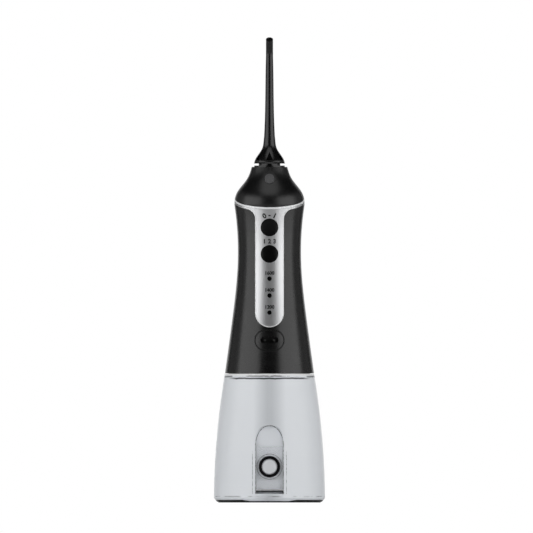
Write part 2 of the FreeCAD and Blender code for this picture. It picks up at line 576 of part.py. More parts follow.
def make_casing():
    """Grip housing, head cap, tilted trim ring and front panel."""
    line_top = "ring_side_top - ring_tall"
    band_low = f"{line_top} - ring_line - band_tall"

    mask = fuse("panel_mask", prism("panel_front", "XZ_Plane", panel_runs(), f"{FAR}"),
                tilted_slab("panel_band", band_low, f"{line_top} - ring_line"))
    under_ring = tilted_slab("under_ring", "0", f"{line_top} - ring_line")
    layer = common("panel_layer", skin_between("panel_skin", "panel_thick", "0"), under_ring)
    panel = common("panel_plate", layer, mask)
    holes = button_holes("panel_hole", "button_hole_rad + panel_hole_gap")
    lamps = lamp_holes("panel_lamp_hole", "lamp_rad + panel_hole_gap")
    keep("front_panel", cut("front_panel", panel, *holes, *lamps))

    ring_slab = tilted_slab("ring_slab", line_top, "ring_side_top")
    keep("trim_ring", common("trim_ring", skin_between("ring_skin", "ring_thick"), ring_slab))

    shell = common("grip_shell", skin_between("grip_skin", "grip_wall", "0", "grip_base - 1"),
                   tilted_slab("grip_range", "0", f"{line_top} - ring_line"))
    bosses = []
    for index, angle in enumerate(screw_spots()):
        across, back = at_angle("screw_ring", angle)
        bosses.append(cut(f"boss_{index}",
                          cylinder(f"boss_bar_{index}", "boss_rad", (across, back, "plate_top"),
                                   "boss_top - plate_top"),
                          cylinder(f"boss_hole_{index}", "screw_rad", (across, back, "plate_top"),
                                   "boss_hole")))
    inlet_space = prism("inlet_space", "XZ_Plane", slot_runs("inlet_half", "inlet_half_tall", "inlet_up"),
                        f"{FAR}")
    panel_space = make_panel_space(mask, under_ring)
    housing = cut("housing_wall", shell, panel_space, inlet_space,
                  *button_holes("wall_hole", "button_hole_rad + panel_hole_gap"),
                  *lamp_holes("wall_lamp_hole", "lamp_rad + panel_hole_gap"))
    keep("grip_housing", fuse("grip_housing", housing, *bosses))

    crown = skin_between("cap_skin", "cap_wall", "0", "grip_base", "cap_top - cap_wall")
    over_ring = tilted_slab("over_ring", "ring_side_top", f"ring_side_top + {FAR}")
    top_hole = cylinder("cap_top_hole", "cap_hole", ("0", "0", "cap_top - 5"), "10")
    button_hole = cylinder("cap_button_hole", "release_rad + release_gap", ("0", f"-{FAR}", "release_up"),
                           f"{FAR}", "y")
    lip = common("cap_lip", skin_between("lip_skin", "grip_wall + lip_thick", "grip_wall + run_gap"),
                 tilted_slab("lip_range", "ring_side_top - lip_deep", "ring_side_top + bridge_high"))
    bridge = common("cap_bridge", skin_between("bridge_skin", "grip_wall + lip_thick", "cap_wall / 2"),
                    tilted_slab("bridge_range", "ring_side_top + bridge_low", "ring_side_top + bridge_high"))
    cap = cut("cap_shell", common("cap_crown", crown, over_ring), top_hole, button_hole)
    keep("head_cap", fuse("head_cap", cap, lip, bridge))


def make_panel_space(mask, under_ring):
    """Room for the front panel in the grip's wall: the same outline, one panel thickness deep."""
    layer = common("space_layer", skin_between("space_skin", "panel_thick", "-1"), under_ring)
    return common("panel_space", layer, mask)


def make_base():
    """Base plate with the spigot that plugs the tank, its seal and its screws."""
    disc = cylinder("plate_disc", "grip_rad_a - grip_wall - plate_gap", ("0", "0", "grip_base"),
                    "plate_top - grip_base")
    spigot = tube("plate_spigot", "spigot_rad", "spigot_rad - spigot_wall", ("0", "0", "spigot_low"),
                  "grip_base - spigot_low")
    seal_ring = "mouth_rad - tank_seal_gap - tank_seal_rad"
    groove = torus("seal_groove", seal_ring, "tank_seal_rad + run_gap", ("0", "0", "tank_seal_up"))
    nipple_foot = ("pump_left", "pump_back", "grip_base - nipple_deep")
    nipple = cylinder("suction_nipple", "tube_bore", nipple_foot, "nipple_deep")
    duct = cylinder("suction_duct", "tube_bore - nipple_wall", nipple_foot, "nipple_deep + plate_thick")
    holes = []
    for index, angle in enumerate(screw_spots()):
        across, back = at_angle("screw_ring", angle)
        foot = (across, back, "grip_base")
        holes.append(cylinder(f"plate_hole_{index}", "screw_rad", foot, "plate_thick"))
        holes.append(cylinder(f"plate_sink_{index}", "screw_head_rad + screw_sink_gap", foot,
                              "screw_head_tall"))
    keep("base_plate", cut("base_plate", fuse("plate_solid", disc, spigot, nipple), groove, duct, *holes))
    keep("tank_seal", torus("tank_seal", seal_ring, "tank_seal_rad", ("0", "0", "tank_seal_up")))
    screws = []
    for index, angle in enumerate(screw_spots()):
        across, back = at_angle("screw_ring", angle)
        screws.append(cylinder(f"screw_shank_{index}", "screw_rad",
                               (across, back, "grip_base + screw_head_tall"), "screw_long"))
        screws.append(cylinder(f"screw_head_{index}", "screw_head_rad", (across, back, "grip_base"),
                               "screw_head_tall"))
    keep("base_screws", fuse("base_screws", *screws))


# ---------------------------------------------------------------------------- water path
def make_water_path():
    """Suction tube and strainer, valve block with its two valves, pump cylinder, delivery tube."""
    pump = ("pump_left", "pump_back")
    keep("suction_tube", tube("suction_tube", "suction_rad", "tube_bore", (*pump, "suction_low"),
                              "grip_base - suction_low"))
    body = cylinder("strainer_body", "strainer_rad", (*pump, "strainer_low"), "strainer_tall")
    bore = cylinder("strainer_bore", "suction_rad", (*pump, "suction_low"), "strainer_tall")
    slots = [box(f"strainer_slot_{step}",
                 ("pump_left - strainer_rad", f"pump_back - strainer_slot / 2 + strainer_pitch * {step}",
                  "strainer_low"),
                 ("pump_left + strainer_rad", f"pump_back + strainer_slot / 2 + strainer_pitch * {step}",
                  "strainer_low + slot_tall"))
             for step in (-1, 0, 1)]
    keep("strainer", cut("strainer", body, bore, *slots))

    block = box("block_body", ("tube_left - block_left", "tube_back - block_before", "plate_top"),
                ("pump_left + block_right", "pump_back + block_behind", "pump_low"))
    floor = "plate_top + valve_floor"
    cells = [cylinder(f"valve_room_{name}", "valve_rad", (across, back, floor),
                      "block_tall - 2 * valve_floor")
             for name, across, back in (("inlet", *pump), ("outlet", "tube_left", "tube_back"))]
    ducts = [cylinder(f"valve_duct_{name}", "duct_rad", (across, back, low), "valve_floor")
             for name, across, back, low in (("foot", *pump, "plate_top"),
                                             ("bore", *pump, "pump_low - valve_floor"),
                                             ("away", "tube_left", "tube_back", "pump_low - valve_floor"))]
    link_foot = f"{floor} + link_low"
    link = box("valve_link", ("tube_left - link_half", "tube_back", link_foot),
               ("tube_left + link_half", "pump_back", f"{link_foot} + link_tall"))
    cross = box("valve_cross", ("tube_left", "pump_back - link_half", link_foot),
                ("pump_left", "pump_back + link_half", f"{link_foot} + link_tall"))
    keep("valve_block", cut("valve_block", block, *cells, *ducts, link, cross))
    flap = "valve_rad - valve_gap"
    keep("inlet_valve", cylinder("inlet_valve", flap, (*pump, floor), "valve_thick"))
    keep("outlet_valve", cylinder("outlet_valve", flap, ("tube_left", "tube_back", floor), "valve_thick"))
    keep("pump_cylinder", tube("pump_cylinder", "pump_rad", "bore_rad", (*pump, "pump_low"),
                               "pump_high - pump_low"))
    make_delivery_tube()


def make_delivery_tube():
    """Hose from the valve block up beside the battery to the nozzle seat."""
    left, back = number("tube_left"), number("tube_back")
    low, high = number("pump_low"), number("seat_low")
    rise = number("spine_top + tube_drop")
    lead = high - number("tube_lead")
    points = [FreeCAD.Vector(left, back, low), FreeCAD.Vector(left, back, rise),
              FreeCAD.Vector(0, 0, lead), FreeCAD.Vector(0, 0, high)]
    path = rounded_path(points, [number("tube_bend"), number("tube_end_bend")])
    rings = []
    for radius in (number("tube_rad"), number("tube_bore")):
        ring = Part.Wire(Part.makeCircle(radius, points[0], FreeCAD.Vector(0, 0, 1)))
        rings.append(path.makePipeShell([ring], True, False))
    hose = doc.addObject("Part::Feature", "delivery_tube")
    hose.Shape = rings[0].cut(rings[1])
    keep("delivery_tube", hose)


def rounded_path(points, radii):
    """Straight runs between points, joined by tangent arcs of the given radii."""
    edges = []
    start = points[0]
    for before, corner, after, radius in zip(points, points[1:], points[2:], radii):
        into = (corner - before).normalize()
        out = (after - corner).normalize()
        half_turn = into.getAngle(out) / 2
        reach = radius * math.tan(half_turn)
        first = corner - into * reach
        last = corner + out * reach
        inward = (out - into).normalize()
        middle = corner + inward * (radius / math.cos(half_turn) - radius)
        edges.append(Part.LineSegment(start, first).toShape())
        edges.append(Part.Arc(first, middle, last).toShape())
        start = last
    edges.append(Part.LineSegment(start, points[-1]).toShape())
    return Part.Wire(edges)


# ---------------------------------------------------------------------------- drive
def toothed(name, teeth, spot, phase):
    """Spur gear about the Y axis at spot: a root disc and one tooth, repeated around it."""
    body = new_body(name)
    pitch_rad = f"gear_module * {teeth} / 2"
    root, tip = f"({pitch_rad} - gear_module * 1.25)", f"({pitch_rad} + gear_module * 0.85)"
    disc = circle(new_sketch(body, name + "_root", "XY_Plane"), root)
    padded(body, name + "_disc", disc, "gear_thick")
    low, high = "gear_module * 0.95", "gear_module * 0.38"
    inside = f"{root} - gear_module"
    corners = [(inside, f"-{low}"), (tip, f"-{high}"), (tip, high), (inside, low)]
    tooth_sketch = draw(new_sketch(body, name + "_tooth", "XY_Plane"), polygon(corners))
    tooth = padded(body, name + "_tooth_pad", tooth_sketch, "gear_thick")
    doc.recompute()
    ring = body.newObject("PartDesign::PolarPattern", name + "_teeth")
    ring.Originals = [tooth]
    ring.Axis = (tooth_sketch, ["N_Axis"])
    ring.Angle = 360
    ring.Occurrences = int(number(teeth))
    bind(ring, "Occurrences", teeth)
    body.Tip = ring
    body.Placement = FreeCAD.Placement(FreeCAD.Vector(*[number(part) for part in spot]),
                                       FreeCAD.Rotation(FreeCAD.Vector(0, 1, 0), phase).multiply(Z_TO_Y))
    for letter, part in zip("xyz", spot):
        bind(body, f"Placement.Base.{letter}", part)
    return body


def make_drive():
    """Motor with its pinion, and the drive gear on its axle with the crank pin."""
    make_motor()
    axle = ("pump_left", "motor_back", "gear_up")
    plate = box("bracket_plate", ("pump_left - bracket_left", "motor_back", "gear_up - bracket_down"),
                ("motor_side + bracket_right", "motor_back + bracket_thick", "gear_up + bracket_up"))
    shaft_hole = cylinder("bracket_shaft_hole", "axle_rad + shaft_gap",
                          ("motor_side", "motor_back", "gear_up"), "bracket_thick", "y")
    axle_hole = cylinder("bracket_axle_hole", "axle_rad", axle, "bracket_thick", "y")
    screws, screw_holes = [
        [cylinder(f"motor_screw_{kind}_{sign}", "motor_screw_rad",
                  (f"motor_side + {sign} * motor_screw_off", "motor_back", "gear_up"), "bracket_thick", "y")
         for sign in (-1, 1)]
        for kind in ("bar", "hole")]
    keep("gear_bracket", cut("gear_bracket", plate, shaft_hole, axle_hole, *screw_holes))
    keep("motor_screws", fuse("motor_screws", *screws))
    keep("gear_axle", cylinder("gear_axle", "axle_rad", axle, "gear_front + gear_thick - motor_back", "y"))

    gear_spot = ("pump_left", "gear_front", "gear_up")
    gear = toothed("gear_body", "gear_teeth", gear_spot, 0)
    gear_bore = cylinder("gear_bore", "axle_rad + run_gap", gear_spot, "gear_thick", "y")
    pin_spot = ("pump_left + crank_throw", "gear_front + gear_thick - crank_bite", "gear_up")
    pin_seat = cylinder("crank_seat", "crank_pin_rad", pin_spot, "crank_bite", "y")
    keep("drive_gear", cut("drive_gear", gear, gear_bore, pin_seat))
    pin = cylinder("crank_pin_bar", "crank_pin_rad", pin_spot, "crank_bite + gear_gap + yoke_thick", "y")
    pin_clear = cylinder("crank_clear", "axle_rad + run_gap", gear_spot, "gear_thick", "y")
    keep("crank_pin", cut("crank_pin", pin, pin_clear))
    make_piston()


def make_motor():
    """Motor can with its end cap, and the rotor, shaft and pinion that turn in it."""
    cap_end = "motor_front + motor_cap_thick"
    front, middle = ("motor_side", "motor_front", "gear_up"), ("motor_side", cap_end, "gear_up")
    can_long = f"motor_back - ({cap_end})"
    keep("motor_cap", cut("motor_cap", cylinder("motor_cap_disc", "motor_rad", front, "motor_cap_thick", "y"),
                          cylinder("motor_cap_hole", "axle_rad + run_gap", front, "motor_cap_thick", "y")))
    can = cylinder("motor_can_bar", "motor_rad", middle, can_long, "y")
    room = cylinder("motor_room", "motor_rad - motor_shell", middle, f"{can_long} - motor_shell", "y")
    bush = cylinder("motor_bush", "axle_rad + run_gap", middle, can_long, "y")
    keep("motor_can", cut("motor_can", can, room, bush))

    core_front = ("motor_side", f"{cap_end} + rotor_end_gap", "gear_up")
    core_long = f"{can_long} - motor_shell - 2 * rotor_end_gap"
    core = cylinder("rotor_core", "motor_rad - motor_shell - rotor_gap", core_front, core_long, "y")
    core_bore = cylinder("rotor_bore", "axle_rad", core_front, core_long, "y")
    keep("motor_rotor", cut("motor_rotor", core, core_bore))
    keep("motor_shaft", cylinder("motor_shaft", "axle_rad",
                                 ("motor_side", "motor_front + gear_gap", "gear_up"),
                                 "gear_front + gear_thick - motor_front", "y"))
    pinion_spot = ("motor_side", "gear_front", "gear_up")
    pinion = toothed("pinion_body", "pinion_teeth", pinion_spot, PINION_PHASE)
    keep("pinion", cut("pinion", pinion, cylinder("pinion_bore", "axle_rad", pinion_spot, "gear_thick", "y")))


def make_piston():
    """Piston with its ring and the yoke that the crank pin drives."""
    foot = ("pump_left", "pump_back", "piston_mid - piston_tall / 2")
    ring = ("bore_rad - piston_ring_in", "piston_ring_sec", ("pump_left", "pump_back", "piston_mid"))
    body = cylinder("piston_bar", "bore_rad - run_gap", foot, "piston_tall")
    keep("piston", cut("piston", body, torus("piston_groove", *ring)))
    keep("piston_seal", torus("piston_seal", *ring))
    yoke_back = "yoke_front + yoke_thick"
    outer_half, outer_tall = "(yoke_half + yoke_rim)", "(yoke_half_tall + yoke_rim)"
    plate = box("yoke_plate", (f"pump_left - {outer_half}", "yoke_front", f"gear_up - {outer_tall}"),
                (f"pump_left + {outer_half}", yoke_back, f"gear_up + {outer_tall}"))
    window = box("yoke_window", ("pump_left - yoke_half", "yoke_front", "gear_up - yoke_half_tall"),
                 ("pump_left + yoke_half", yoke_back, "gear_up + yoke_half_tall"))
    rod = cylinder("piston_rod_bar", "rod_rad", ("pump_left", "pump_back", "piston_mid + piston_tall / 2"),
                   f"gear_up - {outer_tall} - piston_mid - piston_tall / 2")
    keep("piston_yoke", fuse("piston_yoke", cut("yoke_frame", plate, window), rod))


# ---------------------------------------------------------------------------- chassis and electrics
def make_chassis():
    """Inner chassis: a flat spine with shelves for the battery and the motor."""
    back = "-spine_back"
    spine = box("spine", ("-spine_half", "-spine_front", "plate_top"), ("spine_half", back, "spine_top"))
    shelves = [box(f"cell_{name}", ("-cell_rad", back, low),
                   ("cell_rad", "shelf_back", f"{low} + shelf_thick"))
               for name, low in (("shelf", "cell_low - tab_thick - shelf_thick"),
                                 ("roof", "cell_low + cell_tall + tab_thick"))]
    under = "gear_up - motor_rad - run_gap"
    motor_shelf = box("motor_shelf", ("motor_shelf_left", back, f"{under} - motor_shelf_thick"),
                      ("motor_shelf_right", "motor_back", under))
    foot = box("spine_foot", ("foot_left", back, "plate_top"),
               ("foot_right", f"{back} + foot_deep", "plate_top + foot_tall"))
    keep("chassis", fuse("chassis", spine, *shelves, motor_shelf, foot))


def make_electrics():
    """Battery with its tabs, control board with its parts, membrane, lamps and charging inlet."""
    centre = "-spine_back + cell_rad + cell_gap"
    keep("battery_cell", cylinder("battery_cell", "cell_rad", ("0", centre, "cell_low"), "cell_tall"))
    tabs = [box(f"cell_tab_{name}", ("-tab_half", centre, low),
                ("tab_half", f"{centre} + tab_long", f"{low} + tab_thick"))
            for name, low in (("foot", "cell_low - tab_thick"), ("head", "cell_low + cell_tall"))]
    keep("battery_tabs", fuse("battery_tabs", *tabs))

    keep("control_board", box("control_board", ("-board_half", "-board_face", "board_low"),
                              ("board_half", "-spine_front", "board_top")))
    blocks = [box(f"board_part_{name}", (left, f"-board_face - {tall}", f"board_low + {low}"),
                  (right, "-board_face", f"board_low + {high}"))
              for name, left, right, low, high, tall in BOARD_BLOCKS]
    name, across, up, radius, tall = BOARD_CAPACITOR
    blocks.append(cylinder(f"board_part_{name}", radius,
                           (across, f"-board_face - {tall}", f"board_low + {up}"), tall, "y"))
    keep("board_parts", fuse("board_parts", *blocks))
    half = "switch_wide / 2"
    switches = [fuse(f"switch_{name}",
                     box(f"switch_case_{name}",
                         (f"-{half}", "-board_face - switch_deep + knob_tall", f"{level} - {half}"),
                         (half, "-board_face", f"{level} + {half}")),
                     cylinder(f"switch_knob_{name}", "knob_rad", ("0", "-board_face - switch_deep", level),
                              "knob_tall", "y"))
                for name, level in (("power", "power_up"), ("mode", "mode_up"))]
    keep("tact_switches", fuse("tact_switches", *switches))

    pad_front = "-flange_front + flange_thick + press_travel + pad_gap"
    keep("keypad_membrane", box("keypad_membrane", ("-pad_half_wide", pad_front, "mode_up - pad_under"),
                                ("pad_half_wide", f"{pad_front} + pad_thick", "power_up + pad_over")))
    levels = [f"lamp_up + lamp_pitch * {step}" for step in range(3)]
    lamps = [cylinder(f"led_{step}", "led_rad", ("0", "-board_face - led_tall", level), "led_tall", "y")
             for step, level in enumerate(levels)]
    keep("status_leds", fuse("status_leds", *lamps))
    for name, level in zip(("low", "middle", "high"), levels):
        bar = cylinder(f"lens_bar_{name}", "lamp_rad", ("0", f"-{FAR}", level), f"{FAR} - lamp_back", "y")
        keep(f"lamp_lens_{name}", common(f"lamp_lens_{name}", bar, lathe(f"lens_skin_{name}",
                                                                         handle_outline("lamp_sink"))))
    make_inlet()


def make_inlet():
    """Two-pin charging inlet: a bezel in the grip's wall, a blind socket and its pins."""
    rim = prism("inlet_rim", "XZ_Plane", slot_runs("inlet_half - inlet_gap", "inlet_half_tall - inlet_gap",
                                                   "inlet_up"), f"{FAR}", offset="inlet_back")
    bezel = common("inlet_bezel_solid", rim, lathe("inlet_skin", handle_outline("inlet_sink")))
    wells = [prism(f"inlet_well_{kind}", "XZ_Plane", slot_runs("socket_half + socket_wall",
                                                               "socket_half_tall + socket_wall", "inlet_up"),
                   f"{FAR}", offset="inlet_back") for kind in ("space", "body")]
    keep("inlet_bezel", cut("inlet_bezel", bezel, wells[0]))

    block = common("socket_solid", wells[1], lathe("socket_skin", handle_outline("inlet_sink")))
    hole = prism("socket_hole", "XZ_Plane", slot_runs("socket_half", "socket_half_tall", "inlet_up"), f"{FAR}",
                 offset="socket_deep")
    brow = "inlet_up + socket_half_tall"
    notch = prism("socket_notch", "XZ_Plane",
                  polygon([("-notch_half", f"{brow} + notch_over"), ("0", f"{brow} - notch_deep"),
                           ("notch_half", f"{brow} + notch_over")]), f"{FAR}", offset="inlet_back")
    pins, pin_holes = [
        [cylinder(f"inlet_pin_{kind}_{sign}", "pin_rad", (f"{sign} * pin_apart / 2", "-pin_front", "inlet_up"),
                  "pin_long + pin_tail", "y") for sign in (-1, 1)]
        for kind in ("bar", "hole")]
    keep("charging_socket", cut("charging_socket", block, cut("socket_room", hole, notch), *pin_holes))
    keep("charging_pins", fuse("charging_pins", *pins))


# ---------------------------------------------------------------------------- buttons
def make_buttons():
    """Power and mode buttons: domed caps with a flange behind the wall."""
    for name, level in (("power_button", "power_up"), ("mode_button", "mode_up")):
        stem = cylinder(name + "_stem", "button_rad", ("0", f"-{FAR}", level), f"{FAR} - flange_front", "y")
        face = common(name + "_face", stem, lathe(name + "_skin", handle_outline("-button_proud")))
        flange = cylinder(name + "_flange", "flange_rad", ("0", "-flange_front", level), "flange_thick", "y")
        keep(name, fuse(name, face, flange))


def make_release():
    """Nozzle release: a round button in the cap's front, and the latch plate that it pushes."""
    bar = cylinder("release_bar", "release_rad", ("0", f"-{FAR}", "release_up"), f"{FAR} - latch_front", "y")
    face = common("release_face", bar, lathe("release_skin", handle_outline("-release_proud")))
    leg = box("release_leg", ("-latch_leg", "-latch_front - latch_leg", "latch_up"),
              ("latch_leg", "-latch_front", "release_up"))
    keep("release_button", fuse("release_button", face, leg))
    plate = box("latch_bar", ("-latch_half", "-latch_front", "latch_up"),
                ("latch_half", "latch_back", "latch_up + latch_thick"))
    slot = box("latch_slot", ("-latch_slot", "-latch_slot - latch_travel", "latch_up"),
               ("latch_slot", "latch_slot", "latch_up + latch_thick"))
    keep("latch_plate", cut("latch_plate", plate, slot))


def make_spring():
    """Compression spring that pushes the latch plate forwards, seated on the cap's back wall."""
    start, wire, ring = number("latch_back"), number("spring_wire"), number("spring_rad")
    gap = number("spring_gap")
    long = number("spring_seat") - start - 2 * (wire + gap)
    helix = Part.makeHelix(long / number("spring_coils"), long, ring)
    ring_wire = Part.Wire(Part.makeCircle(wire, FreeCAD.Vector(ring, 0, 0), FreeCAD.Vector(0, 1, 0)))
    spring = doc.addObject("Part::Feature", "latch_spring")
    spring.Shape = Part.Wire(helix).makePipeShell([ring_wire], True, True)
    spring.Placement = FreeCAD.Placement(
        FreeCAD.Vector(0, start + wire + gap, number("latch_up + latch_thick / 2")), Z_TO_Y)
    keep("latch_spring", spring)


# ---------------------------------------------------------------------------- nozzle
def make_seat():
    """Fixed seat that carries the nozzle's stem, with its foot on the chassis and arms to the cap."""
    latch_room = "latch_up + latch_thick + latch_gap"
    floor_top = "seat_low + seat_floor"
    upper = tube("seat_upper", "seat_rad", "seat_bore", ("0", "0", latch_room), f"seat_top - ({latch_room})")
    lower = tube("seat_lower", "seat_rad", "seat_bore", ("0", "0", floor_top),
                 f"latch_up - latch_gap - ({floor_top})")
    floor = tube("seat_floor_disc", "seat_rad", "tube_bore", ("0", "0", "seat_low"), "seat_floor")
    near, far = "(latch_half + latch_gap)", "(seat_rad + seat_arm)"
    arms = [box(f"seat_arm_{side}", (low, "-seat_arm_half", "seat_low"), (high, "seat_arm_half", "seat_top"))
            for side, low, high in (("left", f"-{far}", f"-{near}"), ("right", near, far))]
    disc = tube("seat_disc", "cap_rad_c - grip_wall - lip_thick - seat_disc_gap", "seat_bore",
                ("0", "0", "seat_low"), "seat_floor")
    legs = [box(f"seat_leg_{side}", (low, "-spine_front", "spine_top"), (high, "-spine_back", "seat_low + leg_up"))
            for side, low, high in (("left", "-leg_out", "-leg_in"), ("right", "leg_in", "leg_out"))]
    keep("nozzle_seat", fuse("nozzle_seat", upper, lower, floor, disc, *arms, *legs))


def make_collar():
    """Turning collar in the cap's top that the nozzle sits on."""
    skirt_low = "collar_low + collar_skirt"
    hub_low = "seat_top + latch_gap"
    bar = cylinder("collar_bar", "collar_rad", ("0", "0", skirt_low), f"collar_top - ({skirt_low})")
    hub = cylinder("collar_hub", "seat_rad", ("0", "0", hub_low), f"collar_top - ({hub_low})")
    hole = cylinder("collar_hole", "collar_bore", ("0", "0", hub_low), f"collar_top - ({hub_low})")
    keep("turning_collar", cut("turning_collar", fuse("collar_solid", bar, hub), hole))


def make_nozzle():
    """Jet nozzle: ribbed skirt, long taper and a leaning tip, with its stem, seal and ring."""
    body = new_body("nozzle_body")
    skirt = spread("skirt_low", "jet_low", (0, 1 / 6, 0.5, 5 / 6, 1),
                   ["skirt_rad_a", "skirt_rad_b", "skirt_rad_c", "skirt_rad_d", "jet_rad_a"])
    lip_edge = ("lip_rad - lip_slant", "lip_low + lip_edge")
    lean = "tip_lean * 1deg"
    bend = f"(overall_tall - bend_rad * sin({lean}) - tip_long * cos({lean}) - jet_rad_d * sin({lean}))"
    jet = spread("jet_low", bend, (0, 1 / 3, 2 / 3, 1), ["jet_rad_a", "jet_rad_b", "jet_rad_c", "jet_rad_d"])
    turned(body, "nozzle_turned", [
        [("0", "stem_low"), ("stem_rad", "stem_low")], [("stem_rad", "stem_low"), ("stem_rad", "collar_top")],
        [("stem_rad", "collar_top"), ("neck_rad", "collar_top")],
        [("neck_rad", "collar_top"), ("neck_rad", "lip_low")], [("neck_rad", "lip_low"), ("lip_rad", "lip_low")],
        [("lip_rad", "lip_low"), lip_edge], [lip_edge, skirt[0]], skirt, jet,
        [jet[-1], ("0", bend)], [("0", bend), ("0", "stem_low")]])
    pocket_sketch = draw(new_sketch(body, "rib_pocket_outline", "XZ_Plane", "pocket_deep"), polygon(
        [("-pocket_half", "pocket_low"), ("pocket_half", "pocket_low"), ("0", "pocket_top")]))
    pocket = padded(body, "rib_pocket", pocket_sketch, "skirt_rad_a", backwards=True, cutting=True)
    doc.recompute()
    ring = body.newObject("PartDesign::PolarPattern", "rib_pockets")
    ring.Originals = [pocket]
    ring.Axis = ([item for item in body.Origin.OriginFeatures if item.Role == "Z_Axis"][0], [""])
    ring.Angle = 360
    ring.Occurrences = int(number("pocket_count"))
    bind(ring, "Occurrences", "pocket_count")
    body.Tip = ring
    tip = make_tip("tip", bend, "jet_rad_d", "tip_long")
    groove = tube("stem_groove", "stem_rad", "groove_rad", ("0", "0", "latch_up - groove_side"),
                  "latch_thick + 2 * groove_side")
    seal = ("stem_seal_mid", "stem_seal_sec", ("0", "0", "(stem_low + latch_up) / 2"))
    seal_groove = torus("stem_seal_groove", *seal)
    water = cylinder("nozzle_water", "duct_jet_rad", ("0", "0", "stem_low"), f"{bend} - stem_low")
    mouth = make_tip("mouth", bend, "outlet_rad", "tip_long + outlet_rad")
    keep("jet_nozzle", cut("jet_nozzle", fuse("nozzle_solid", body, tip), groove, seal_groove, water, mouth))
    keep("stem_seal", torus("stem_seal", *seal))


def make_tip(name, bend, radius, straight):
    """Leaning end of the nozzle: a bent stretch and a straight one, of one radius."""
    level, turn = number(bend), math.radians(number("tip_lean"))
    bend_rad, long = number("bend_rad"), number(straight)
    foot = FreeCAD.Vector(0, 0, level)
    half = FreeCAD.Vector(0, -bend_rad * (1 - math.cos(turn / 2)), level + bend_rad * math.sin(turn / 2))
    knee = FreeCAD.Vector(0, -bend_rad * (1 - math.cos(turn)), level + bend_rad * math.sin(turn))
    end = knee + FreeCAD.Vector(0, -math.sin(turn), math.cos(turn)) * long
    path = Part.Wire([Part.Arc(foot, half, knee).toShape(), Part.LineSegment(knee, end).toShape()])
    ring = Part.Wire(Part.makeCircle(number(radius), foot, FreeCAD.Vector(0, 0, 1)))
    item = doc.addObject("Part::Feature", name + "_bend")
    item.Shape = path.makePipeShell([ring], True, False)
    return item


# ---------------------------------------------------------------------------- build and write
def check_and_write():
    """Refuse a failed object or an invalid shape, then write one file for each sub-part."""
    faults = [item.Name for item in doc.Objects if {"Invalid", "Error"} & set(item.State)]
    for name, item in PIECES.items():
        if item.Shape.isNull() or not item.Shape.isValid() or item.Shape.Volume <= 0:
            faults.append(name)
    if faults:
        raise RuntimeError("failed objects: " + ", ".join(faults))
    os.makedirs("parts", exist_ok=True)
    for name, item in PIECES.items():
        item.Shape.exportStep(os.path.join("parts", name + ".step"))
        print(f"{name}: {len(item.Shape.Solids)} solid(s), {item.Shape.Volume:.1f} mm3")


make_tank()
make_door()
make_casing()
make_base()
make_water_path()
make_drive()
make_chassis()
make_electrics()
make_buttons()
make_release()
make_spring()
make_seat()
make_collar()
doc.recompute()
make_nozzle()
doc.recompute()
check_and_write()
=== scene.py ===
"""Looks of a cordless water flosser: finishes, printed marks, trims, light and camera.

Lengths are metres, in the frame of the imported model: +Z up, -Y the front, +X the right-hand side.
"""
import json
import logging
import math
from dataclasses import dataclass, field
from enum import Enum
from typing import Callable, Iterable, Optional, Sequence, Union

import bmesh
import bpy
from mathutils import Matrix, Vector
from mathutils.bvhtree import BVHTree

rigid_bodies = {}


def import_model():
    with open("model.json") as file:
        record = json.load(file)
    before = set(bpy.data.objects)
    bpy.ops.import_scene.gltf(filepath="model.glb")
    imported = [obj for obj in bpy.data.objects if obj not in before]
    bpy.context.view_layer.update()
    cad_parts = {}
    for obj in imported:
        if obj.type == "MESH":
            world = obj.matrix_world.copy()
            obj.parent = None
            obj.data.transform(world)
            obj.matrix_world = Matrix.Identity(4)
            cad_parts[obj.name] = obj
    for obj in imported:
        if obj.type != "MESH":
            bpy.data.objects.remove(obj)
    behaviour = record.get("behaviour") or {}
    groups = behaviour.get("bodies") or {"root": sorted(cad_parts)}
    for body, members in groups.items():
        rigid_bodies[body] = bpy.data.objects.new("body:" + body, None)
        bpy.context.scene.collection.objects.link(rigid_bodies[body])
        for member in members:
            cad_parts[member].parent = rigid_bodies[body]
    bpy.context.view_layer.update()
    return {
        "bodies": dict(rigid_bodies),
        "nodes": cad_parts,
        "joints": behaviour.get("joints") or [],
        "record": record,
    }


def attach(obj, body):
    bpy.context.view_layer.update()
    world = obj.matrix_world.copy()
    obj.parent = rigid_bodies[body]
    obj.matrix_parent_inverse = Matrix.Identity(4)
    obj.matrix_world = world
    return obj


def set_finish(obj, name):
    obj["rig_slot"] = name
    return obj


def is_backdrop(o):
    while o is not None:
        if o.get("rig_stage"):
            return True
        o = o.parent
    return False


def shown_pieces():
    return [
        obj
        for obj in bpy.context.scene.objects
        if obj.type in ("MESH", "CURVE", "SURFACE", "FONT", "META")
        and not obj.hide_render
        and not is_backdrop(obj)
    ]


LOG = logging.getLogger("flosser")
MM = 0.001
Colour = tuple[float, float, float]


